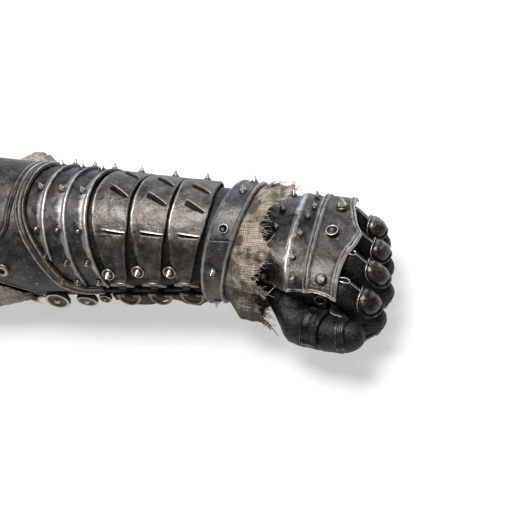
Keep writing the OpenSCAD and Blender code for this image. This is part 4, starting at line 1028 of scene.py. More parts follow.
# %% Closure bosses and eyelet
boss_tilt, boss_sink = 24, 0.36
boss_seats = [(lame_x - 2, 119, 9), (lame_x + 18, 127, 7.6), (lame_x + 34, 120, 4.6)]
pad = [[0.55, -0.5, 0], [0.82, -0.34, 0], [1.02, -0.12, 0], [1.06, 0.02, 0], [1.0, 0.08, 0],
       [0.9, 0.1, 0], [0.01, 0.1, 0]]
eyelet = [[2.2, 0, 0], [2.2, 1.5, 0], [2.35, 1.85, 0.5], [2.7, 2.02, 0.9], [3.2, 2.05, 0.8], [3.9, 1.95, 0.6],
          [4.6, 1.5, 0.3], [5.1, 0.95, 0.3], [5.2, 0.6, 0], [5.2, 0, 0]]
for k, (x, a, r) in enumerate(boss_seats, 1):
    foot, _ = on_arm([[x, a, 0.5]])
    _, out = on_arm([[x, a - boss_tilt, 0.5]])
    foot = foot + out * r * boss_sink
    lathe(f"closure_boss_{k}_turned", np.array(boss) * [r, 1, 1], foot, out, border_steel,
          replaces=["closure_bosses"] if k == 1 else (), turns=56)
    lathe(f"closure_pad_{k}_leather", np.array(pad) * r, foot, out, black_leather, turns=56)
lathe("point_eyelet_turned", eyelet, *on_arm([[49, 74, 2.35]]), border_steel)
print(len(boss_seats), "bosses and the eyelet made")

# %% [markdown]
# ## Burlap
# The lining bunches out from under the rear plates, and a skirt hangs out of the cuff over the
# wrist. Both are coarse cloth with a frayed edge. They are held all along one side and hang only
# a few centimetres, so a cloth simulation would add little. Each is one sheet with folds from
# sums of waves, and its loose threads are thin tubes. The weave is drawn on the flat cloth, so it
# follows the folds.
# %% Loose threads
thread_r, thread_steps, cloth_wall = 0.33, 7, 1.1
rng = np.random.default_rng(7)


def threads(name, roots, ways, lengths, seed):
    """Loose threads: three-sided tubes that start at roots, leave along ways and curl by a random
    amount that grows with the square of the distance along them. They hang down as they go, and
    thin to 0.4 of their radius."""
    draw = np.random.default_rng(seed)
    n, sides = len(roots), 3
    t = np.linspace(0, 1, thread_steps)[None, :, None]
    curl, twist = draw.normal(0, 0.45, (n, 1, 3)), draw.normal(0, 0.25, (n, 1, 3))
    way = ways[:, None] * t + curl * t**2 + twist * np.sin(5 * t) * t
    line = roots[:, None] + lengths[:, None, None] * way
    line[..., 2] -= (lengths[:, None] * 0.2) * t[..., 0] ** 2
    a = circle(sides)[:, None]
    u = unit(np.cross(ways, draw.normal(0, 1, (n, 3))))
    v = unit(np.cross(ways, u))
    ring = u[:, None, None] * np.cos(a) + v[:, None, None] * np.sin(a)
    points = line[:, :, None] + ring * (thread_r * (1 - 0.6 * t[..., None]))
    one = quads(thread_steps, sides, False, True)
    faces = (one[None] + (np.arange(n) * thread_steps * sides)[:, None, None]).reshape(-1, 4)
    flat = np.stack([np.arange(n) * 0.0007, np.arange(n) * 0.0003], 1)[:, None, None]
    flat = np.broadcast_to(flat, (n, thread_steps, sides, 2))
    return make(name, points, faces, "vambrace", burlap, wear=np.full(points.shape[:3], 0.9), uv=flat)


def fringe(name, points, back, count, spread, longest, shortest, seed):
    """Threads along the last column of a cloth's points. They leave it the way the cloth runs over
    its last stations, turned a little at random."""
    pick = rng.integers(0, len(points), count)
    edge = points[pick, -1]
    ways = unit(unit(edge - points[pick, -back]) + rng.normal(0, spread, (count, 3)))
    return threads(name, edge - [0.6, 0, 0], ways, rng.uniform(shortest, longest, count), seed)


print("threads of", thread_steps * 3, "points each")

# %% Lining
lining_rows, lining_stations, hem_far = 260, 46, 360 + elbow_far - 5
# metres: the radius at which each cloth is laid out flat
lining_radius, ruff_radius = 0.05, 0.045


def lining(a, x):
    """The lining's outer side: two bunches that are products of humps, two slanted waves for the
    small folds, and noise."""
    thumb_side = hump(a, 92, 150) * hump(x, -26, 66) * 5
    far_side = np.sqrt(hump(a, 258, 301)) * (2 * hump(x, 8, 78) + 12.5 * hump(x, 29, 65) ** 0.7)
    small = 1.2 * np.sin(np.radians(3.1 * a + 2.2 * x)) ** 2 + 1.1 * np.cos(np.radians(5 * a - 5 * x)) ** 2
    rumple = 0.9 * grain(a / 5 + x / 30, x / 5, 61) + 0.5 * grain(a / 2.4, x / 2.6, 62)
    return arm(x, a, 1.6 + (thumb_side + far_side) * (1 + 0.12 * rumple) + small + rumple * 0.8)


u, v = grid(np.linspace(0, 1, lining_rows), np.linspace(0, 1, lining_stations))
lobes = 7 * hump(mix(104, hem_far, u), 262, 301)
lining_end = 58 + lobes + 4.5 * hump(u, 0.05, 0.8) * grain(u * 13, u * 0, 65)
lining_end = lining_end + 2.0 * grain(u * 60, u * 0, 63) + 1.4 * grain(u * 150, u * 0, 64)
x = mix(4, lining_end, v)
a = mix(np.maximum(81, 66 + hem_rate * x), hem_far, u)
points = lining(a, x)
flat = np.stack([np.radians(a) * lining_radius, x * MM], -1)
paleness = 0.3 + 0.5 * hump(a, 262, 345) + 0.25 * hump(a, 80, 150)
faces = quads(lining_rows, lining_stations)[:, ::-1]
lining_cloth = make("burlap_lining_cloth", points, faces, "vambrace", burlap, ["burlap_lining"], paleness, flat)
thicken(lining_cloth, cloth_wall)
lining_fringe = fringe("burlap_lining_fringe", points, 3, 200, 0.3, 6.0, 1.5, 8)
print("lining made, from", round(float(x.min()), 1), "to", round(float(x.max()), 1), "mm along the arm")

# %% Skirt at the wrist
ruff_rows = 540
ruff_steps = np.concatenate([[0], np.linspace(0.14, 1, 50)])
ruff_edge = [(-180, 224), (-160, 228), (-135, 233), (-115, 230), (-95, 237), (-78, 232), (-62, 236),
             (-46, 231), (-34, 232), (-26, 233), (-23, 240), (-19, 251), (-16, 258), (-12, 256), (-7, 258),
             (-1, 255), (3, 249), (8, 245), (15, 241), (24, 240), (30, 240), (38, 244.5), (46, 248),
             (52, 246), (58, 242.5), (64, 238), (70, 239), (78, 242), (84, 241), (90, 234), (97, 233),
             (106, 238), (114, 241), (121, 238), (128, 230), (138, 228), (158, 231), (180, 224)]


def ruff_end(a):
    """Front edge of the skirt: a curve through its lobes and tails, frayed by noise of three sizes,
    less a few narrow tears."""
    tear = 4 * (ridge(a, 21, 2) + 0.7 * ridge(a, 66, 2) + ridge(a, -70, 3) + 0.8 * ridge(a, 91, 2))
    frayed = table(ruff_edge, a) + 0.7 * grain(a / 6, a * 0, 71) + 0.9 * grain(a / 2.3, a * 0, 72)
    return frayed + 0.6 * grain(a, a * 0, 73) - tear


def ruff(a, x):
    """The skirt's outer side: under the cuff it lies on the arm, and beyond it the radius grows by
    a fifth of the distance plus folds, which are two waves and a few humps round the wrist."""
    past = np.maximum(0, x - cuff_right(a) - 0.5)
    grow = np.minimum(1, past / 12)
    r = np.radians(a)
    folds = 1.8 * np.sin(7 * r + 0.7) + 1.2 * np.sin(11 * r) + 7 * hump(a, 30, 112) * (1 - ease(a, 82, 90))
    folds = folds + 9.5 * hump(a, 88, 150) + 2 * hump(np.abs(a), 110, 250) + 3.5 * hump(a, -30, 6)
    rumple = 0.9 + 0.9 * grain(a / 7 + x / 20, x / 6, 74) + 0.7 * grain(a / 3 - x / 9, x / 3.5, 75)
    out = arm_r(np.minimum(x, cuff_right(a))) + cuff_h - 0.35 + past * 0.2 + grow * (folds + rumple)
    out = out + 1.6 * ease(past, 8, 16) * np.maximum(0, grain(a / 5, a * 0, 76))
    return np.stack([x, -out * np.sin(r), out * np.cos(r)], -1)


a, v = grid(np.linspace(-180, 180, ruff_rows, endpoint=False), ruff_steps)
x = mix(cuff_left(a) + 4, ruff_end(a), v)
points = ruff(a, x)
flat = np.stack([np.radians(a) * ruff_radius, x * MM], -1)
# Paler towards the frayed edge; past 86 degrees the lower tail is made darker, which is painted shade.
paleness = 0.02 + 0.55 * ease(v, 0.3, 1) * (0.5 + 0.5 * grain(a / 14, a * 0, 77)) + 0.2 * hump(a, -40, 10)
paleness = paleness - 0.4 * ease(a, 86, 92)
faces = quads(ruff_rows, len(ruff_steps), True)[:, ::-1]
ruff_cloth = make("burlap_ruff_cloth", points, faces, "vambrace", burlap, ["burlap_ruff"], paleness, flat)
thicken(ruff_cloth, cloth_wall)
ruff_fringe = fringe("burlap_ruff_fringe", points, 4, 430, 0.35, 6.5, 1.2, 9)
print("skirt made, its longest tail ends at", round(float(x.max()), 1), "mm")

# %% [markdown]
# ## The hand
# A gloved fist is a rounded box that widens from the wrist to the knuckles. Sculpting could make
# it, but plates would then have to be fitted by eye. Here one function gives the hand's surface
# at any height, so it places the leather glove and, a little higher, the three plates on its back.
# %% Hand surface
wrist_x, knuckle_x, palm_len = 226.0, 297.0, 71.0
hand_half, hand_drop, wrist_half, wrist_thick = 42.5, -6.0, 31.0, 24.0
knuckle_thick, palm_thick, corner = 17.5, 13.0, 2.8
finger_pitch, knuckle_r, mid_r, tip_r = 21.6, 11.2, 10.0, 9.2


def fading(behind, start, end, *shares):
    """Rows of [share of the hand's length, value]: one behind the wrist, then from start to end by
    the given shares."""
    return [(-0.2, behind)] + [(s, mix(start, end, u)) for s, u in shares]


wide_rows = fading(wrist_half - 2, wrist_half, hand_half,
                   (0, 0), (0.2, 0.36), (0.46, 0.78), (0.78, 1), (1, 1))
high_rows = fading(wrist_thick + 1, wrist_thick, knuckle_thick,
                   (0, 0), (0.2, 0.36), (0.46, 0.62), (0.78, 0.92), (1, 1))
low_rows = fading(wrist_thick + 1, wrist_thick, palm_thick, (0, 0), (0.4, 0.6), (0.8, 1), (1, 1))


def signed_power(v, power):
    """The size of v to a power, with the sign of v."""
    return np.sign(v) * np.abs(v) ** power


def bent(v):
    """A sine or cosine for a rounded square instead of a circle: its power 2 / corner."""
    return signed_power(v, 2 / corner)


def hand_mid(x):
    """The hand's middle line shifts evenly towards the thumb side and down."""
    return hand_drop * np.clip((x - wrist_x) / palm_len, 0, 1)


def hand(x, t, h):
    """A point on the hand: at x along it, turned by t degrees from the top round a rounded square
    with the hand's half width and thickness there, both plus h."""
    x, t, h = np.broadcast_arrays(x, np.radians(t), h)
    s, m = (x - wrist_x) / palm_len, hand_mid(x)
    b = np.where(np.cos(t) > 0, table(high_rows, s), table(low_rows, s))
    return np.stack([x, m - (table(wide_rows, s) + h) * bent(np.sin(t)), m + (b + h) * bent(np.cos(t))], -1)


Finger = namedtuple("Finger", "across forward lift length cap_from")
fingers = {"index": Finger(-1.5, -4.5, -0.4, 0.94, 5.5), "middle": Finger(-0.5, -4, 0, 1, 6),
           "ring": Finger(0.5, -7.5, -0.4, 0.98, 10.5), "little": Finger(1.5, -13, -0.8, 0.9, 8)}
print("hand", 2 * hand_half, "mm wide at the knuckles, fingers", finger_pitch, "mm apart")

# %% Glove
thumb_root_x, thumb_at = 29, np.array([wrist_x + 46, -56.5, -20])
root_rows = {"y": [(-6, -12), (8, -23), (20, -38.5), (thumb_root_x, -51.5)],
             "z": [(-6, -9), (8, -12.5), (20, -17), (thumb_root_x, -20)],
             "r": [(-6, 12), (8, 12.4), (20, 13.0), (thumb_root_x, 13.5)]}
root_fades = {"y": (-34.5, 27, 46), "z": (-15, 29, 44), "r": (8.4, 29, 44)}
root_low, root_high, heel_r, glove_wall = 84, 184, 11, 1.8
glove_front, bend_from = knuckle_x - knuckle_r - 1, wrist_x + 43
knuckle_line = [(hand_drop + (f.across + side) * finger_pitch, f.forward)
                for f in fingers.values() for side in (-0.3, 0.25)]


def root(key, s):
    """A measure of the thumb's root at a distance s from the wrist: a curve through its rows, then
    an ease from the last row to what is left of it at the knuckles."""
    rows, (end, low, high) = root_rows[key], root_fades[key]
    return np.where(s <= thumb_root_x, table(rows, s), mix(rows[-1][1], end, ease(s, low, high)))


def skin(x, t, h):
    """The glove: the hand's surface, widened over the root of the thumb and the heel of the palm.
    Circles are strung from the middle line to the root, and the reach of each along a ray is
    c + sqrt(r^2 - off^2), with its centre c along the ray and off beside it. The furthest counts."""
    p = hand(x, t, h)
    m, s = hand_mid(x), x - wrist_x
    ray = p[..., 1:] - m[..., None]
    d, size = unit(ray), np.linalg.norm(ray, axis=-1)
    cy, cz, r = root("y", s) - m, root("z", s) - m, root("r", s)
    for u in np.linspace(0.1, 1, 10):
        along = (cy * d[..., 0] + cz * d[..., 1]) * u
        off_squared = (cy**2 + cz**2) * u**2 - along**2
        rad = mix(heel_r, r, u) + h
        reach = along + np.sqrt(np.maximum(0, rad**2 - off_squared))
        met = (t > root_low) & (t < root_high) & (off_squared < rad**2)
        size = np.where(met, np.maximum(size, reach), size)
    y = m + d[..., 0] * size
    x = x + table(knuckle_line, y) * np.maximum(0, x - bend_from) / (glove_front - bend_from)
    return np.stack([x, y, m + d[..., 1] * size], -1)


def spin(axis, degrees):
    """Rotation matrix about one axis: cos and sin in the plane of the other two."""
    c, s = np.cos(np.radians(degrees)), np.sin(np.radians(degrees))
    i, j = {"x": (1, 2), "y": (2, 0), "z": (0, 1)}[axis]
    m = np.eye(3)
    m[i, i], m[i, j], m[j, i], m[j, j] = c, -s, s, c
    return m


thumb_turned = spin("z", -18) @ spin("y", -7)
stations = np.concatenate([np.linspace(-12, 28.6, 58), np.linspace(29.3, 46, 28),
                           np.linspace(47, glove_front - wrist_x, 20)])
angles = np.concatenate([np.linspace(0, 84, 40), np.linspace(86, 184, 84), np.linspace(186, 358, 78)])
x, t = grid(wrist_x + stations, angles)
crease = 0.28 * grain(x / 3.2 + t / 22, t / 9, 81) + 0.22 * grain(x / 7, t / 7, 82)
points = skin(x, t, crease - 0.2)
faces = quads(*x.shape, False, True)
# the glove is open inside the root of the thumb, where the thumb's own leather goes on
from_thumb = points.reshape(-1, 3)[faces].mean(1) - thumb_at
along = from_thumb @ thumb_turned[:, 0]
beside = np.linalg.norm(from_thumb - along[:, None] * thumb_turned[:, 0], axis=1)
opening = (beside < 9.5) & (along > -24) & (along < -3)
thicken(make("glove_leather", points, faces[~opening], "hand", black_leather, ["glove_hand"]), glove_wall)
print("glove made,", int(opening.sum()), "faces left open for the thumb")


# %% Wrist gusset
gusset_turns, gusset_folds = 96, 9


def round_ring(x, r, t):
    """A circle round the arm's axis."""
    t = np.radians(t)
    return np.stack([x + 0 * t, -r * np.sin(t), r * np.cos(t)], -1)


def loft(rings, per):
    """A smooth surface through rings of points: a curve through each row of matching points, with
    so many steps from ring to ring."""
    rings = np.array(rings, float)
    k, n = rings.shape[:2]
    u = np.linspace(0, k - 1, (k - 1) * per + 1)
    return along_path(rings.reshape(k, -1), u).reshape(-1, n, 3)


t = np.linspace(0, 360, gusset_turns, endpoint=False)
inner = wrist_r - 3 - gap
points = loft([round_ring(arm_len - 9, inner + arm_slope * 4 - 0.1, t), round_ring(arm_len, inner - 0.1, t),
               hand(wrist_x - 13, t, gap + 1.6), hand(wrist_x - 6, t, gap + 1.1)], 10)
fold = 0.5 * np.sin(column(0, gusset_folds * np.pi, len(points))) - 0.6
points = points + unit(points - points.mean(1, keepdims=True)) * fold[..., None]
faces = quads(len(points), gusset_turns, False, True)
bend_zone = ("vambrace", "hand", (0.200, 0, 0), (0.222, 0, 0))
make("wrist_gusset_leather", points, faces, bend_zone, black_leather, ["wrist_gusset"])
print("gusset made of", len(points), "rings")

# %% [markdown]
# ## Plates on the back of the hand
# Three plates follow each other to the knuckles. Their lower ends are scalloped with a double
# rim, and the last one has a pointed front edge that steps back over each finger. Flat outlines
# could be bent on to the hand with a modifier. Worked out on the hand's own surface, they lie at
# an even height, and their rims keep an even width.
# %% Hand plates
def scallop(t, deep):
    """How far an edge draws in towards the thumb side: a square of the angle past 40 degrees."""
    return deep * np.maximum(0, (t - 40) / 35) ** 2


def hand_plate_piece(name, rear, front, low, high, arch, profile, seed, rows=150):
    """A plate on the hand between two edges given by angle. Its lower end rises by arch degrees in
    the middle; profile gives its height and wear from the distances to its rear and front edges."""
    u = column(0, 1, rows)
    t = mix(low, high, u)
    x, dr, df = across(rear(t), front(t), bead_steps, bead_steps, 16)
    share = dr / (dr + df)
    t = mix(low, high - arch[0] * np.sin(np.pi * share) - arch[1] * share, u)
    end = (1 - u) * (high - low) * 0.72
    h, wear = profile(share, dr, df)
    rims = 0.9 * ridge(end, 1.1, 0.8) + 0.8 * ridge(end, 3.6, 0.8)
    h = h + 0.5 * rims * np.minimum(1, np.minimum(dr, df) / 2) - lip(end) + dented(x, t, 0.18, seed)
    # The rims are worn bright; the rise of the wear towards 10 degrees round the hand is painted highlight
    # where the light from above falls.
    wear = np.clip(wear * (0.55 + 0.45 * hump(t, -70, 90)) + 0.7 * rims, -0.6, 1.2)
    shell(f"{name}_steel", hand(x, t, h), hand(x, t, h - plate_wall), "hand", hand_steel, [name], wear)


def double_bead(d, first, second):
    """Two rounded ridges beside an edge, as height and as wear, with a dark groove between."""
    wear = np.minimum(1, 1.5 * ridge(d, first, 1.1) + 1.4 * ridge(d, second, 1.1))
    return ridge(d, first, 0.95) + ridge(d, second, 0.95), wear - 0.8 * ridge(d, (first + second) / 2, 0.45)


def wrist_profile(s, dr, df):
    """Low lame with a soft rear bead."""
    return 2.2 + 0.35 * ridge(dr, 1.5, 0.8) - lip(dr) - lip(df), 0.35 * ridge(dr, 1.2, 0.8)


def middle_profile(s, dr, df):
    """Lame with a wide worn bevel at its rear."""
    h = np.interp(s, [0, 0.15, 0.62, 1], [3.4, 3.7, 2.5, 2.2]) + 0.5 * ridge(dr, 2.6, 1.4)
    return h - lip(dr) - lip(df), np.minimum(0.85, 1.15 * ridge(dr, 2.4, 2.6))


def front_profile(s, dr, df):
    """Plate with a double bead at both of its edges."""
    (hr, wr), (hf, wf) = double_bead(dr, 1.1, 3.5), double_bead(df, 1.0, 3.2)
    return 3.7 + 1.0 * hr + 1.1 * hf - lip(dr) - lip(df, r=0.7), wr + wf


plate_far = -76
plate_edge = [(plate_far, -7), (-37, -5.5), (-25, -3), (-13, 0), (-8, 2.5), (-4, 5), (0, 3), (6, -0.5),
              (15, -2.5), (30, -4), (47, -4.5), (70, -5)]
hand_plate_piece("wrist_lame", lambda t: wrist_x + 5 + scallop(t, 2),
                 lambda t: wrist_x + 33 - scallop(t, 3), plate_far, 84, (3, 0), wrist_profile, 91)
hand_plate_piece("middle_lame", lambda t: wrist_x + 27 + scallop(t, 1),
                 lambda t: wrist_x + 49 - scallop(t, 2), plate_far, 82, (3, 9), middle_profile, 93)
hand_plate_piece("hand_plate", lambda t: wrist_x + 42 + 0 * t, lambda t: knuckle_x + table(plate_edge, t),
                 plate_far, 71, (6, -2), front_profile, 95, 220)
print("3 hand plates made")


# %% Spikes, studs and bosses on the hand
def on_hand(places):
    """Feet and outward directions for [x from the wrist axis, angle, height] on the hand. Outwards
    is square to a small step round the hand."""
    x, t, h = np.array(places, float).T
    p, q = hand(wrist_x + x, t, h), hand(wrist_x + x, t + 2, h)
    side = unit(q - p)
    return p, np.stack([0 * x, side[:, 2], -side[:, 1]], 1)


low, high = 2.7, 4.05
hand_rows = [[18, -14, low], [17, 1, low], [13, 70, low], [21, -50, low], [38, -44, high],
             [39, -22, high], [36.5, -9, high], [35, 2, high], [33.5, 25, high], [35.5, 54, high]]
ring_boss = [[4.8, 0, 0], [4.8, 0.8, 0], [4.6, 1.25, 0.1], [4.2, 1.6, 0.25], [3.7, 1.72, 0.3],
             [3.3, 1.6, 0.1], [2.9, 1.2, 0], [2.6, 0.8, 0], [2.6, 0, 0]]
lathe("hand_spikes_turned", spike, *on_hand(hand_rows), spike_steel, "hand", ["hand_spikes"], 0.86)
for name, profile, stretch, place, finish in (
        ("hand_cone_turned", spike, [1.55, 1.8, 1], [57.5, -28.5, high], spike_steel),
        ("hand_stud_turned", spike, [1.5, 1.4, 1], [55, 42, high + 0.3], spike_steel),
        ("hand_boss_turned", boss, [4.6, 1, 1], [56, -1, high + 0.3], hand_steel)):
    lathe(name, np.array(profile) * stretch, *on_hand([place]), finish, "hand")
lathe("glove_boss_turned", ring_boss, *on_hand([[54, 81, 0.6]]), cap_steel, "hand", ["glove_boss"])
print(len(hand_rows), "spikes, the cone, the stud and two bosses made")

# %% [markdown]
# ## Fingers
# A gloved finger is a leather tube that bends over two joints. Bones with painted weights are the
# usual way to bend one. Here the tube is lofted through rings and cut in the middle of each
# segment, so that each length runs over one joint only. A ring is given in the plane of the finger
# by its point on the back, its point on the palm side and its half width.
# Round a bent joint the back points go round the joint while the palm points stay at the crease.
# %% Finger leather
finger_lean, knuckle_bend, middle_bend, tip_bend = 12.0, 50.0, 95.0, 40.0
prox_len, mid_len = 30.0, 24.0
plate_over, knuckle_sunk = 2.5, 1.4
finger_half = finger_pitch / 2 * np.cos(np.radians(finger_lean)) - gap
steps_per_ring, joint_turns, end_turns = 7, (-14, 8, 30, 52, 74, 92), (-8, 8, 24, 38)
# rows of a fingertip: how far forward, then how much less back, palm and width it has there
tip_rows = [(7, 0.3, 0.6, 1.5), (13, 1.5, 1.5, 2.6), (17, 3.6, 3.6, 4.8), (19.3, 6.8, 6.8, 7.8)]


def finger_frame(f):
    """Place and turn of a finger's first segment. Its height follows the top of the hand there,
    thickness (1 - |y / half|^p)^(1 / p) with p the corner."""
    y = f.across * finger_pitch
    top = knuckle_thick * (1 - (abs(y) / hand_half) ** corner) ** (1 / corner)
    z = hand_drop + top + plate_over - knuckle_sunk - knuckle_r + f.lift
    at = np.array([knuckle_x + f.forward, hand_drop + y, z])
    return at, spin("x", -finger_lean) @ spin("y", knuckle_bend)


def turned(points, degrees):
    """Points of the finger's plane, as [forward, up], turned down by an angle."""
    c, s = np.cos(np.radians(degrees)), np.sin(np.radians(degrees))
    points = np.asarray(points, float)
    return np.stack([points[..., 0] * c + points[..., 1] * s, -points[..., 0] * s + points[..., 1] * c], -1)


def ring_of(back, palm, half, turns=40):
    """One ring: its middle plus half of (back - palm) cos a in the plane, and half sin a across it,
    with the sine to the power 0.92, which squares the section a little."""
    a = circle(turns)
    middle, reach = (np.asarray(back) + palm) / 2, (np.asarray(back) - palm) / 2
    plane = middle + reach * np.cos(a)[:, None]
    return np.stack([plane[:, 0], half * signed_power(np.sin(a), 0.92), plane[:, 1]], -1)


def on_ball(degrees, r):
    """A point of the finger's plane on a circle round the knuckle, turned back from the top."""
    return np.array([-r * np.sin(np.radians(degrees)), r * np.cos(np.radians(degrees))])


def finger_rings(length):
    """Rings of a whole finger in the frame of its first segment, the two rings to cut it at, and
    the places of the second and the last joint."""
    r, w = knuckle_r, finger_half
    first = [(on_ball(74, r), on_ball(150, r), w - 1.6), (on_ball(46, r), on_ball(165, r), w - 0.5),
             (on_ball(17, r), on_ball(174, r - 0.5), w), ((6, r - 0.1), (3, -r + 0.8), w),
             ((length * 0.42, r - 0.5), (length * 0.3, -r + 1.3), w - 0.2)]
    joint = np.array([length, 0.0])
    crease = joint + 0.8 * np.array([-9.7, -9.5])
    backs = [joint + turned([0, 10.2 + 0.5 * np.sin(np.radians(2 * b))], b) for b in joint_turns]
    over = [(back, crease, w - 0.5) for back in backs]
    place = lambda p: joint + turned(p, middle_bend)
    second = [(place((8, mid_r - 0.4)), place((12.4, -mid_r + 1.0)), w - 0.8)]
    end, crease = place((mid_len, 0)), place((mid_len - 2.6, -6.9))
    last = [(end + turned([0, 9.3], middle_bend + b), crease, w - 1.1) for b in end_turns]
    place = lambda p: end + turned(p, middle_bend + tip_bend)
    for x, back, palm, less in tip_rows:
        last.append((place((x, tip_r - back)), place((x, -tip_r + palm)), w - less))
    last.append((place((19.9, 0.5)), place((19.9, -0.5)), 0.5))
    rings = [ring_of(*row) for row in first + over + second + last]
    return rings, (len(first) - 1, len(first) + len(over)), joint, end


def leather_tube(name, points, body, stands_for, seed):
    """A lofted tube with creases and puckers: each point moves out from the middle of its ring by
    noise. Round the ring the noise is read along a sine, so that it closes."""
    m, n = points.shape[:2]
    u, v = grid(np.arange(m), np.arange(n))
    wave = np.sin(2 * np.pi * v / n)
    push = 0.22 * grain(u / 3.0, 3 * wave + 7, seed) + 0.16 * grain(u / 1.6, 5 * wave + 3, seed + 1)
    points = points + unit(points - points.mean(1, keepdims=True)) * (push - 0.12)[..., None]
    faces = facing_out(points, quads(m, n, False, True))
    make(name, points, faces, body, black_leather, [stands_for], np.zeros((m, n)))


def finger_leather(name, f, seed):
    """Three lengths of leather: the middle one runs over the second joint and the tip over the last
    one. Each is given with a zone along the line that halves the joint's bend."""
    at, turn = finger_frame(f)
    rings, (cut_a, cut_b), joint, end = finger_rings(prox_len * f.length)
    tube = loft(rings, steps_per_ring) @ turn.T + at
    cut_a, cut_b = cut_a * steps_per_ring, cut_b * steps_per_ring

    def zone(middle, degrees, reach):
        """Two places, in metres, a reach before and after a joint along a line turned down."""
        ahead = turned([1, 0], degrees) * reach
        return [(np.array([p[0], 0, p[1]]) @ turn.T + at) * MM for p in (middle - ahead, middle + ahead)]

    over_middle = (f"{name}_first", f"{name}_second", *zone(joint, middle_bend / 2, 5))
    over_end = (f"{name}_second", f"{name}_end", *zone(end, middle_bend + tip_bend / 2, 4))
    leather_tube(f"{name}_base_leather", tube[:cut_a + 1], f"{name}_first", f"{name}_base", seed)
    leather_tube(f"{name}_middle_leather", tube[cut_a:cut_b + 1], over_middle, f"{name}_middle", seed + 1)
    leather_tube(f"{name}_tip_leather", tube[cut_b:], over_end, f"{name}_tip", seed + 2)


for i, (name, f) in enumerate(fingers.items()):
    finger_leather(name, f, 100 + 10 * i)
print("leather of", len(fingers), "fingers made, each", round(2 * finger_half, 1), "mm wide")

# %% [markdown]
# ## Knuckle caps and finger plates
# Each knuckle carries a domed steel cap that hangs on a link of bent wire, and a short plate sits
# on the next segment like a saddle. A smith raises the dome from sheet. A scaled sphere would lack
# its rolled rim and the groove inside it, so the dome is a disc of rings whose rise is a curve.
# %% Knuckle caps, links and ribs
rise_rows = np.array([(0, 4.6), (0.18, 4.55), (0.36, 4.35), (0.5, 4.0), (0.6, 3.6), (0.68, 3.1), (0.74, 2.5),
                      (0.785, 1.85), (0.82, 1.4), (0.85, 1.45), (0.88, 1.95), (0.915, 2.35), (0.95, 2.3),
                      (0.98, 1.75), (1.0, 0.7)])
cap_rings = np.concatenate([np.linspace(0.02, 0.42, 8), np.linspace(0.45, 1.0, 38), [1.0]])
cap_reach, index_reach, cap_turns = 56, 68, 84
link_turns, wire_turns, link_lean, link_swing, wire_r = 64, 10, 38, 22, 0.55
rib_steps, rib_turns, rib_r = 16, 12, 0.75


def back_of(s):
    """Height of the back of a first segment: round the knuckle behind the joint, then slowly up."""
    return np.sqrt(knuckle_r**2 - np.minimum(s, 0) ** 2) + np.maximum(0, s - 6) * 0.04


def cap_point(s, a, h):
    """A point over the back of a finger's first segment."""
    a = np.radians(a)
    deep = knuckle_r + np.maximum(0, s - 6) * 0.04 + h
    return np.stack([s + 0 * a, (finger_half + h) * np.sin(a), deep * np.cos(a)], -1)


def knuckle_cap(name, f, seed):
    """The dome. At a share r of the way out and an angle t it lies at r cos t along the finger and
    r sin t across it, both rounded off to a square; its height is the rise at r plus some noise."""
    at, turn = finger_frame(f)
    r, t = grid(cap_rings, circle(cap_turns))
    low, high = f.cap_from, prox_len * f.length - 1.5
    s = (low + high) / 2 + (high - low) / 2 * r * signed_power(np.cos(t), 0.94)
    beside = r * signed_power(np.sin(t), 0.72)
    a = np.where(beside < 0, index_reach if name == "index" else cap_reach, cap_reach) * beside
    rise = np.interp(r, *rise_rows.T)
    rise[-1] = 0
    rise = rise + 0.1 * grain(s / 3, a / 12, seed)
    points = cap_point(s, a, 0.5 + rise) @ turn.T + at
    # the rim and crown are brighter on the side of the cap towards the light above: painted highlight
    lit_side = np.clip(0.55 + 0.2 * np.sin(t) - 0.5 * np.cos(t), 0, 1)
    rim, groove, crown = ridge(r, 0.93, 0.03), ridge(r, 0.83, 0.035), ridge(r, 0.25, 0.32)
    wear = 0.95 * rim * lit_side - 0.8 * groove + 0.42 * crown * lit_side
    faces = facing_out(points, quads(*r.shape, False, True))
    make(f"{name}_cap_steel", points, faces, f"{name}_first", cap_steel, [f"{name}_cap"], wear)


def wire_link(name, f):
    """A loop of round wire that lies on the ball of the knuckle: t goes round the loop, q round the
    wire, and the angle back from the top is 38 + 22 cos t."""
    at, turn = finger_frame(f)
    t, q = grid(circle(link_turns), circle(wire_turns))
    lean = np.radians(link_lean + link_swing * np.cos(t) + 1.9 * np.sin(q) * np.cos(t))
    r = knuckle_r + 0.75 + wire_r * np.cos(q)
    side = 2.3 * np.sin(t) * (1 - 0.3 * np.cos(t)) + 0.6 * np.sin(q) * np.sin(t)
    points = np.stack([-r * np.sin(lean), side, r * np.cos(lean)], -1) @ turn.T + at
    faces = facing_out(points, quads(link_turns, wire_turns, True, True))
    make(f"{name}_link_wire", points, faces, f"{name}_first", cap_steel, wear=np.full(t.shape, 0.75))


def cap_rib(name, f):
    """A rib from the link's front to the cap: round sections along the back of the finger, which
    grow wider and rise as they near the cap."""
    at, turn = finger_frame(f)
    u, q = grid(np.linspace(0, 1, rib_steps), circle(rib_turns))
    s = mix(-3.6, f.cap_from + 2.6, u)
    half = 0.55 + 0.35 * ease(u, 0.7, 1) * 3
    up = back_of(s) + 0.45 + 0.75 * ease(u, 0.5, 1) + rib_r * np.cos(q)
    points = np.stack([s, half * np.sin(q), up], -1) @ turn.T + at
    faces = facing_out(points, bar_faces(rib_steps, rib_turns))
    make(f"{name}_rib_steel", points, faces, f"{name}_first", cap_steel, wear=np.full(s.shape, 0.85))


print("cap of", len(cap_rings), "rings, highest", rise_rows[:, 1].max(), "mm")


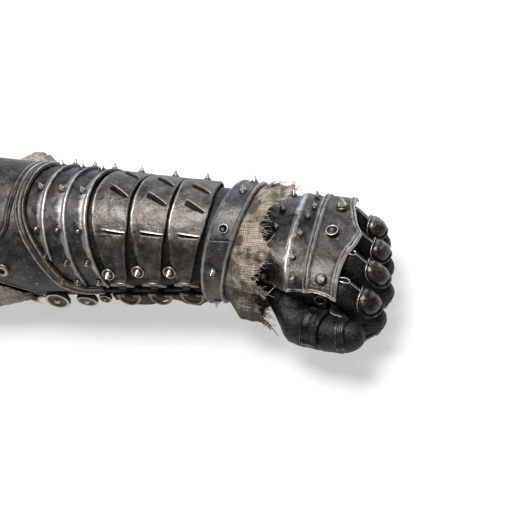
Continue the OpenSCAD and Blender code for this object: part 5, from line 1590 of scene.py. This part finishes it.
# %% Finger plates
def saddle_grid(low, high, half, rows=26, columns=44):
    """Places along and angles across a saddle, with the distances to its ends and to its sides."""
    s, a = grid(np.linspace(low, high, rows), np.linspace(-half, half, columns))
    return s, a, np.minimum(s - low, high - s), (half - np.abs(a)) * 0.18


def saddle_plate(name, s, a, wide, deep, top, underside, place, body, finish, wear):
    """A plate that sits on a segment like a saddle. At the height h over an oval section it lies at
    [s, (wide + h) sin a, (deep + h) cos a], and place carries it to its segment."""
    a = np.radians(a)
    saddle = lambda h: np.stack([s, (wide + h) * np.sin(a), (deep + h) * np.cos(a)], -1)
    sides = place(saddle(top)), place(saddle(np.full_like(top, underside)))
    shell(f"{name}_steel", *sides, body, finish, [name], wear)


def finger_plate(name, f):
    """The plate on a finger's second segment, with a bead at its ends and a finer one at its sides."""
    at, turn = finger_frame(f)
    s, a, ends, sides = saddle_grid(1, mid_len - 9, 51)
    h = 1.75 + 0.45 * ridge(ends, 1.1, 0.6) + 0.3 * ridge(sides, 1.0, 0.5)
    h = h - lip(ends, r=0.4) - lip(sides, r=0.4)
    wear = 0.7 * ridge(ends, 1.0, 0.6) + 0.2 * ridge(sides, 0.8, 0.5)
    place = lambda p: ((p @ spin("y", middle_bend).T) + [prox_len * f.length, 0, 0]) @ turn.T + at
    oval = finger_half - 0.8, mid_r
    saddle_plate(f"{name}_plate", s, a, *oval, h, 0.55, place, f"{name}_second", cap_steel, wear)


for i, (name, f) in enumerate(fingers.items()):
    knuckle_cap(name, f, 130 + i)
    wire_link(name, f)
    cap_rib(name, f)
    finger_plate(name, f)
print("caps, links, ribs and plates of", len(fingers), "fingers made")

# %% [markdown]
# ## Thumb
# The thumb lies along the side of the fist. It is made like a finger. One length of leather spans
# the root, between the glove and the first segment, and the second one spans the thumb's own
# joint. The root starts from a ring that lies inside the glove, so no gap shows between them.
# %% Thumb
thumb_r, thumb_tip_r, thumb_len, thumb_tip_len, thumb_roll = 13.6, 11.2, 24.5, 17.0, 25.0
thumb_steps, saddle_reach = 9, 64
tip_turned = thumb_turned @ spin("z", 13) @ spin("y", -8)
tip_at = thumb_at + thumb_turned @ np.array([thumb_len, 0, 0])
t = circle(56)


def thumb_ring(at, turn, s, r):
    """A ring across the thumb at a distance s along it."""
    p = np.stack([s + 0 * t, r * np.sin(t), r * np.cos(t)], -1) @ spin("x", thumb_roll).T
    return p @ turn.T + at


def glove_ring(s, r):
    """A ring of the thumb's root on the glove, in a plane across the arm."""
    y, z = table(root_rows["y"], s), table(root_rows["z"], s)
    a = t - np.radians(thumb_roll)
    return np.stack([wrist_x + s + 0 * t, y + r * np.sin(a), z + r * np.cos(a)], -1)


def thumb_place(at, turn, s):
    """A place on the thumb's middle line, in metres."""
    return (at + turn @ [s, 0, 0]) * MM


first, tip = (thumb_at, thumb_turned), (tip_at, tip_turned)
rings = [glove_ring(s, r) for s, r in ((21, 12.8), (24, 13.6), (28, 14.0))]
rings += [thumb_ring(*first, s, r) for s, r in ((-8, 14.3), (0, 13.9), (9, 13.3))]
over_root = ("hand", "thumb_first", thumb_place(*first, -17), thumb_place(*first, -1))
leather_tube("thumb_root_leather", loft(rings, thumb_steps), over_root, "thumb_base", 150)
rings = [thumb_ring(*first, s, r) for s, r in ((9, 13.3), (15, 12.8), (20, 12.2))]
tip_sizes = ((0, 11.6), (6, 11.0), (11, 9.4), (14.6, 6.6), (16.4, 3.2), (16.8, 0.3))
rings += [thumb_ring(*tip, s, r) for s, r in tip_sizes]
over_joint = ("thumb_first", "thumb_end", thumb_place(*tip, -6), thumb_place(*tip, 5))
leather_tube("thumb_tip_leather", loft(rings, thumb_steps), over_joint, "thumb_tip", 152)
for name, (at, turn), low, high, r, body in (
        ("thumb_plate", first, 0, thumb_len - 11, thumb_r - 0.1, "thumb_first"),
        ("thumb_tip_plate", tip, 1, thumb_tip_len - 9, thumb_tip_r, "thumb_end")):
    s, a, ends, sides = saddle_grid(low, high, saddle_reach)
    h = 1.8 + 0.6 * ridge(ends, 1.0, 0.6) + 0.5 * ridge(ends, 2.9, 0.6) + 0.7 * ridge(sides, 2.2, 0.8)
    h = h - lip(ends) - lip(sides)
    wear = 0.42 * ridge(ends, 1.0, 0.6) + 0.25 * ridge(ends, 2.9, 0.5) + 0.2 * ridge(sides, 2.2, 0.7)
    place = lambda p: (p @ spin("x", thumb_roll).T) @ turn.T + at
    saddle_plate(name, s, a, r, r, h, 0.65, place, body, thumb_steel, wear)
print("thumb made, its joint at", np.round(tip_at, 1))
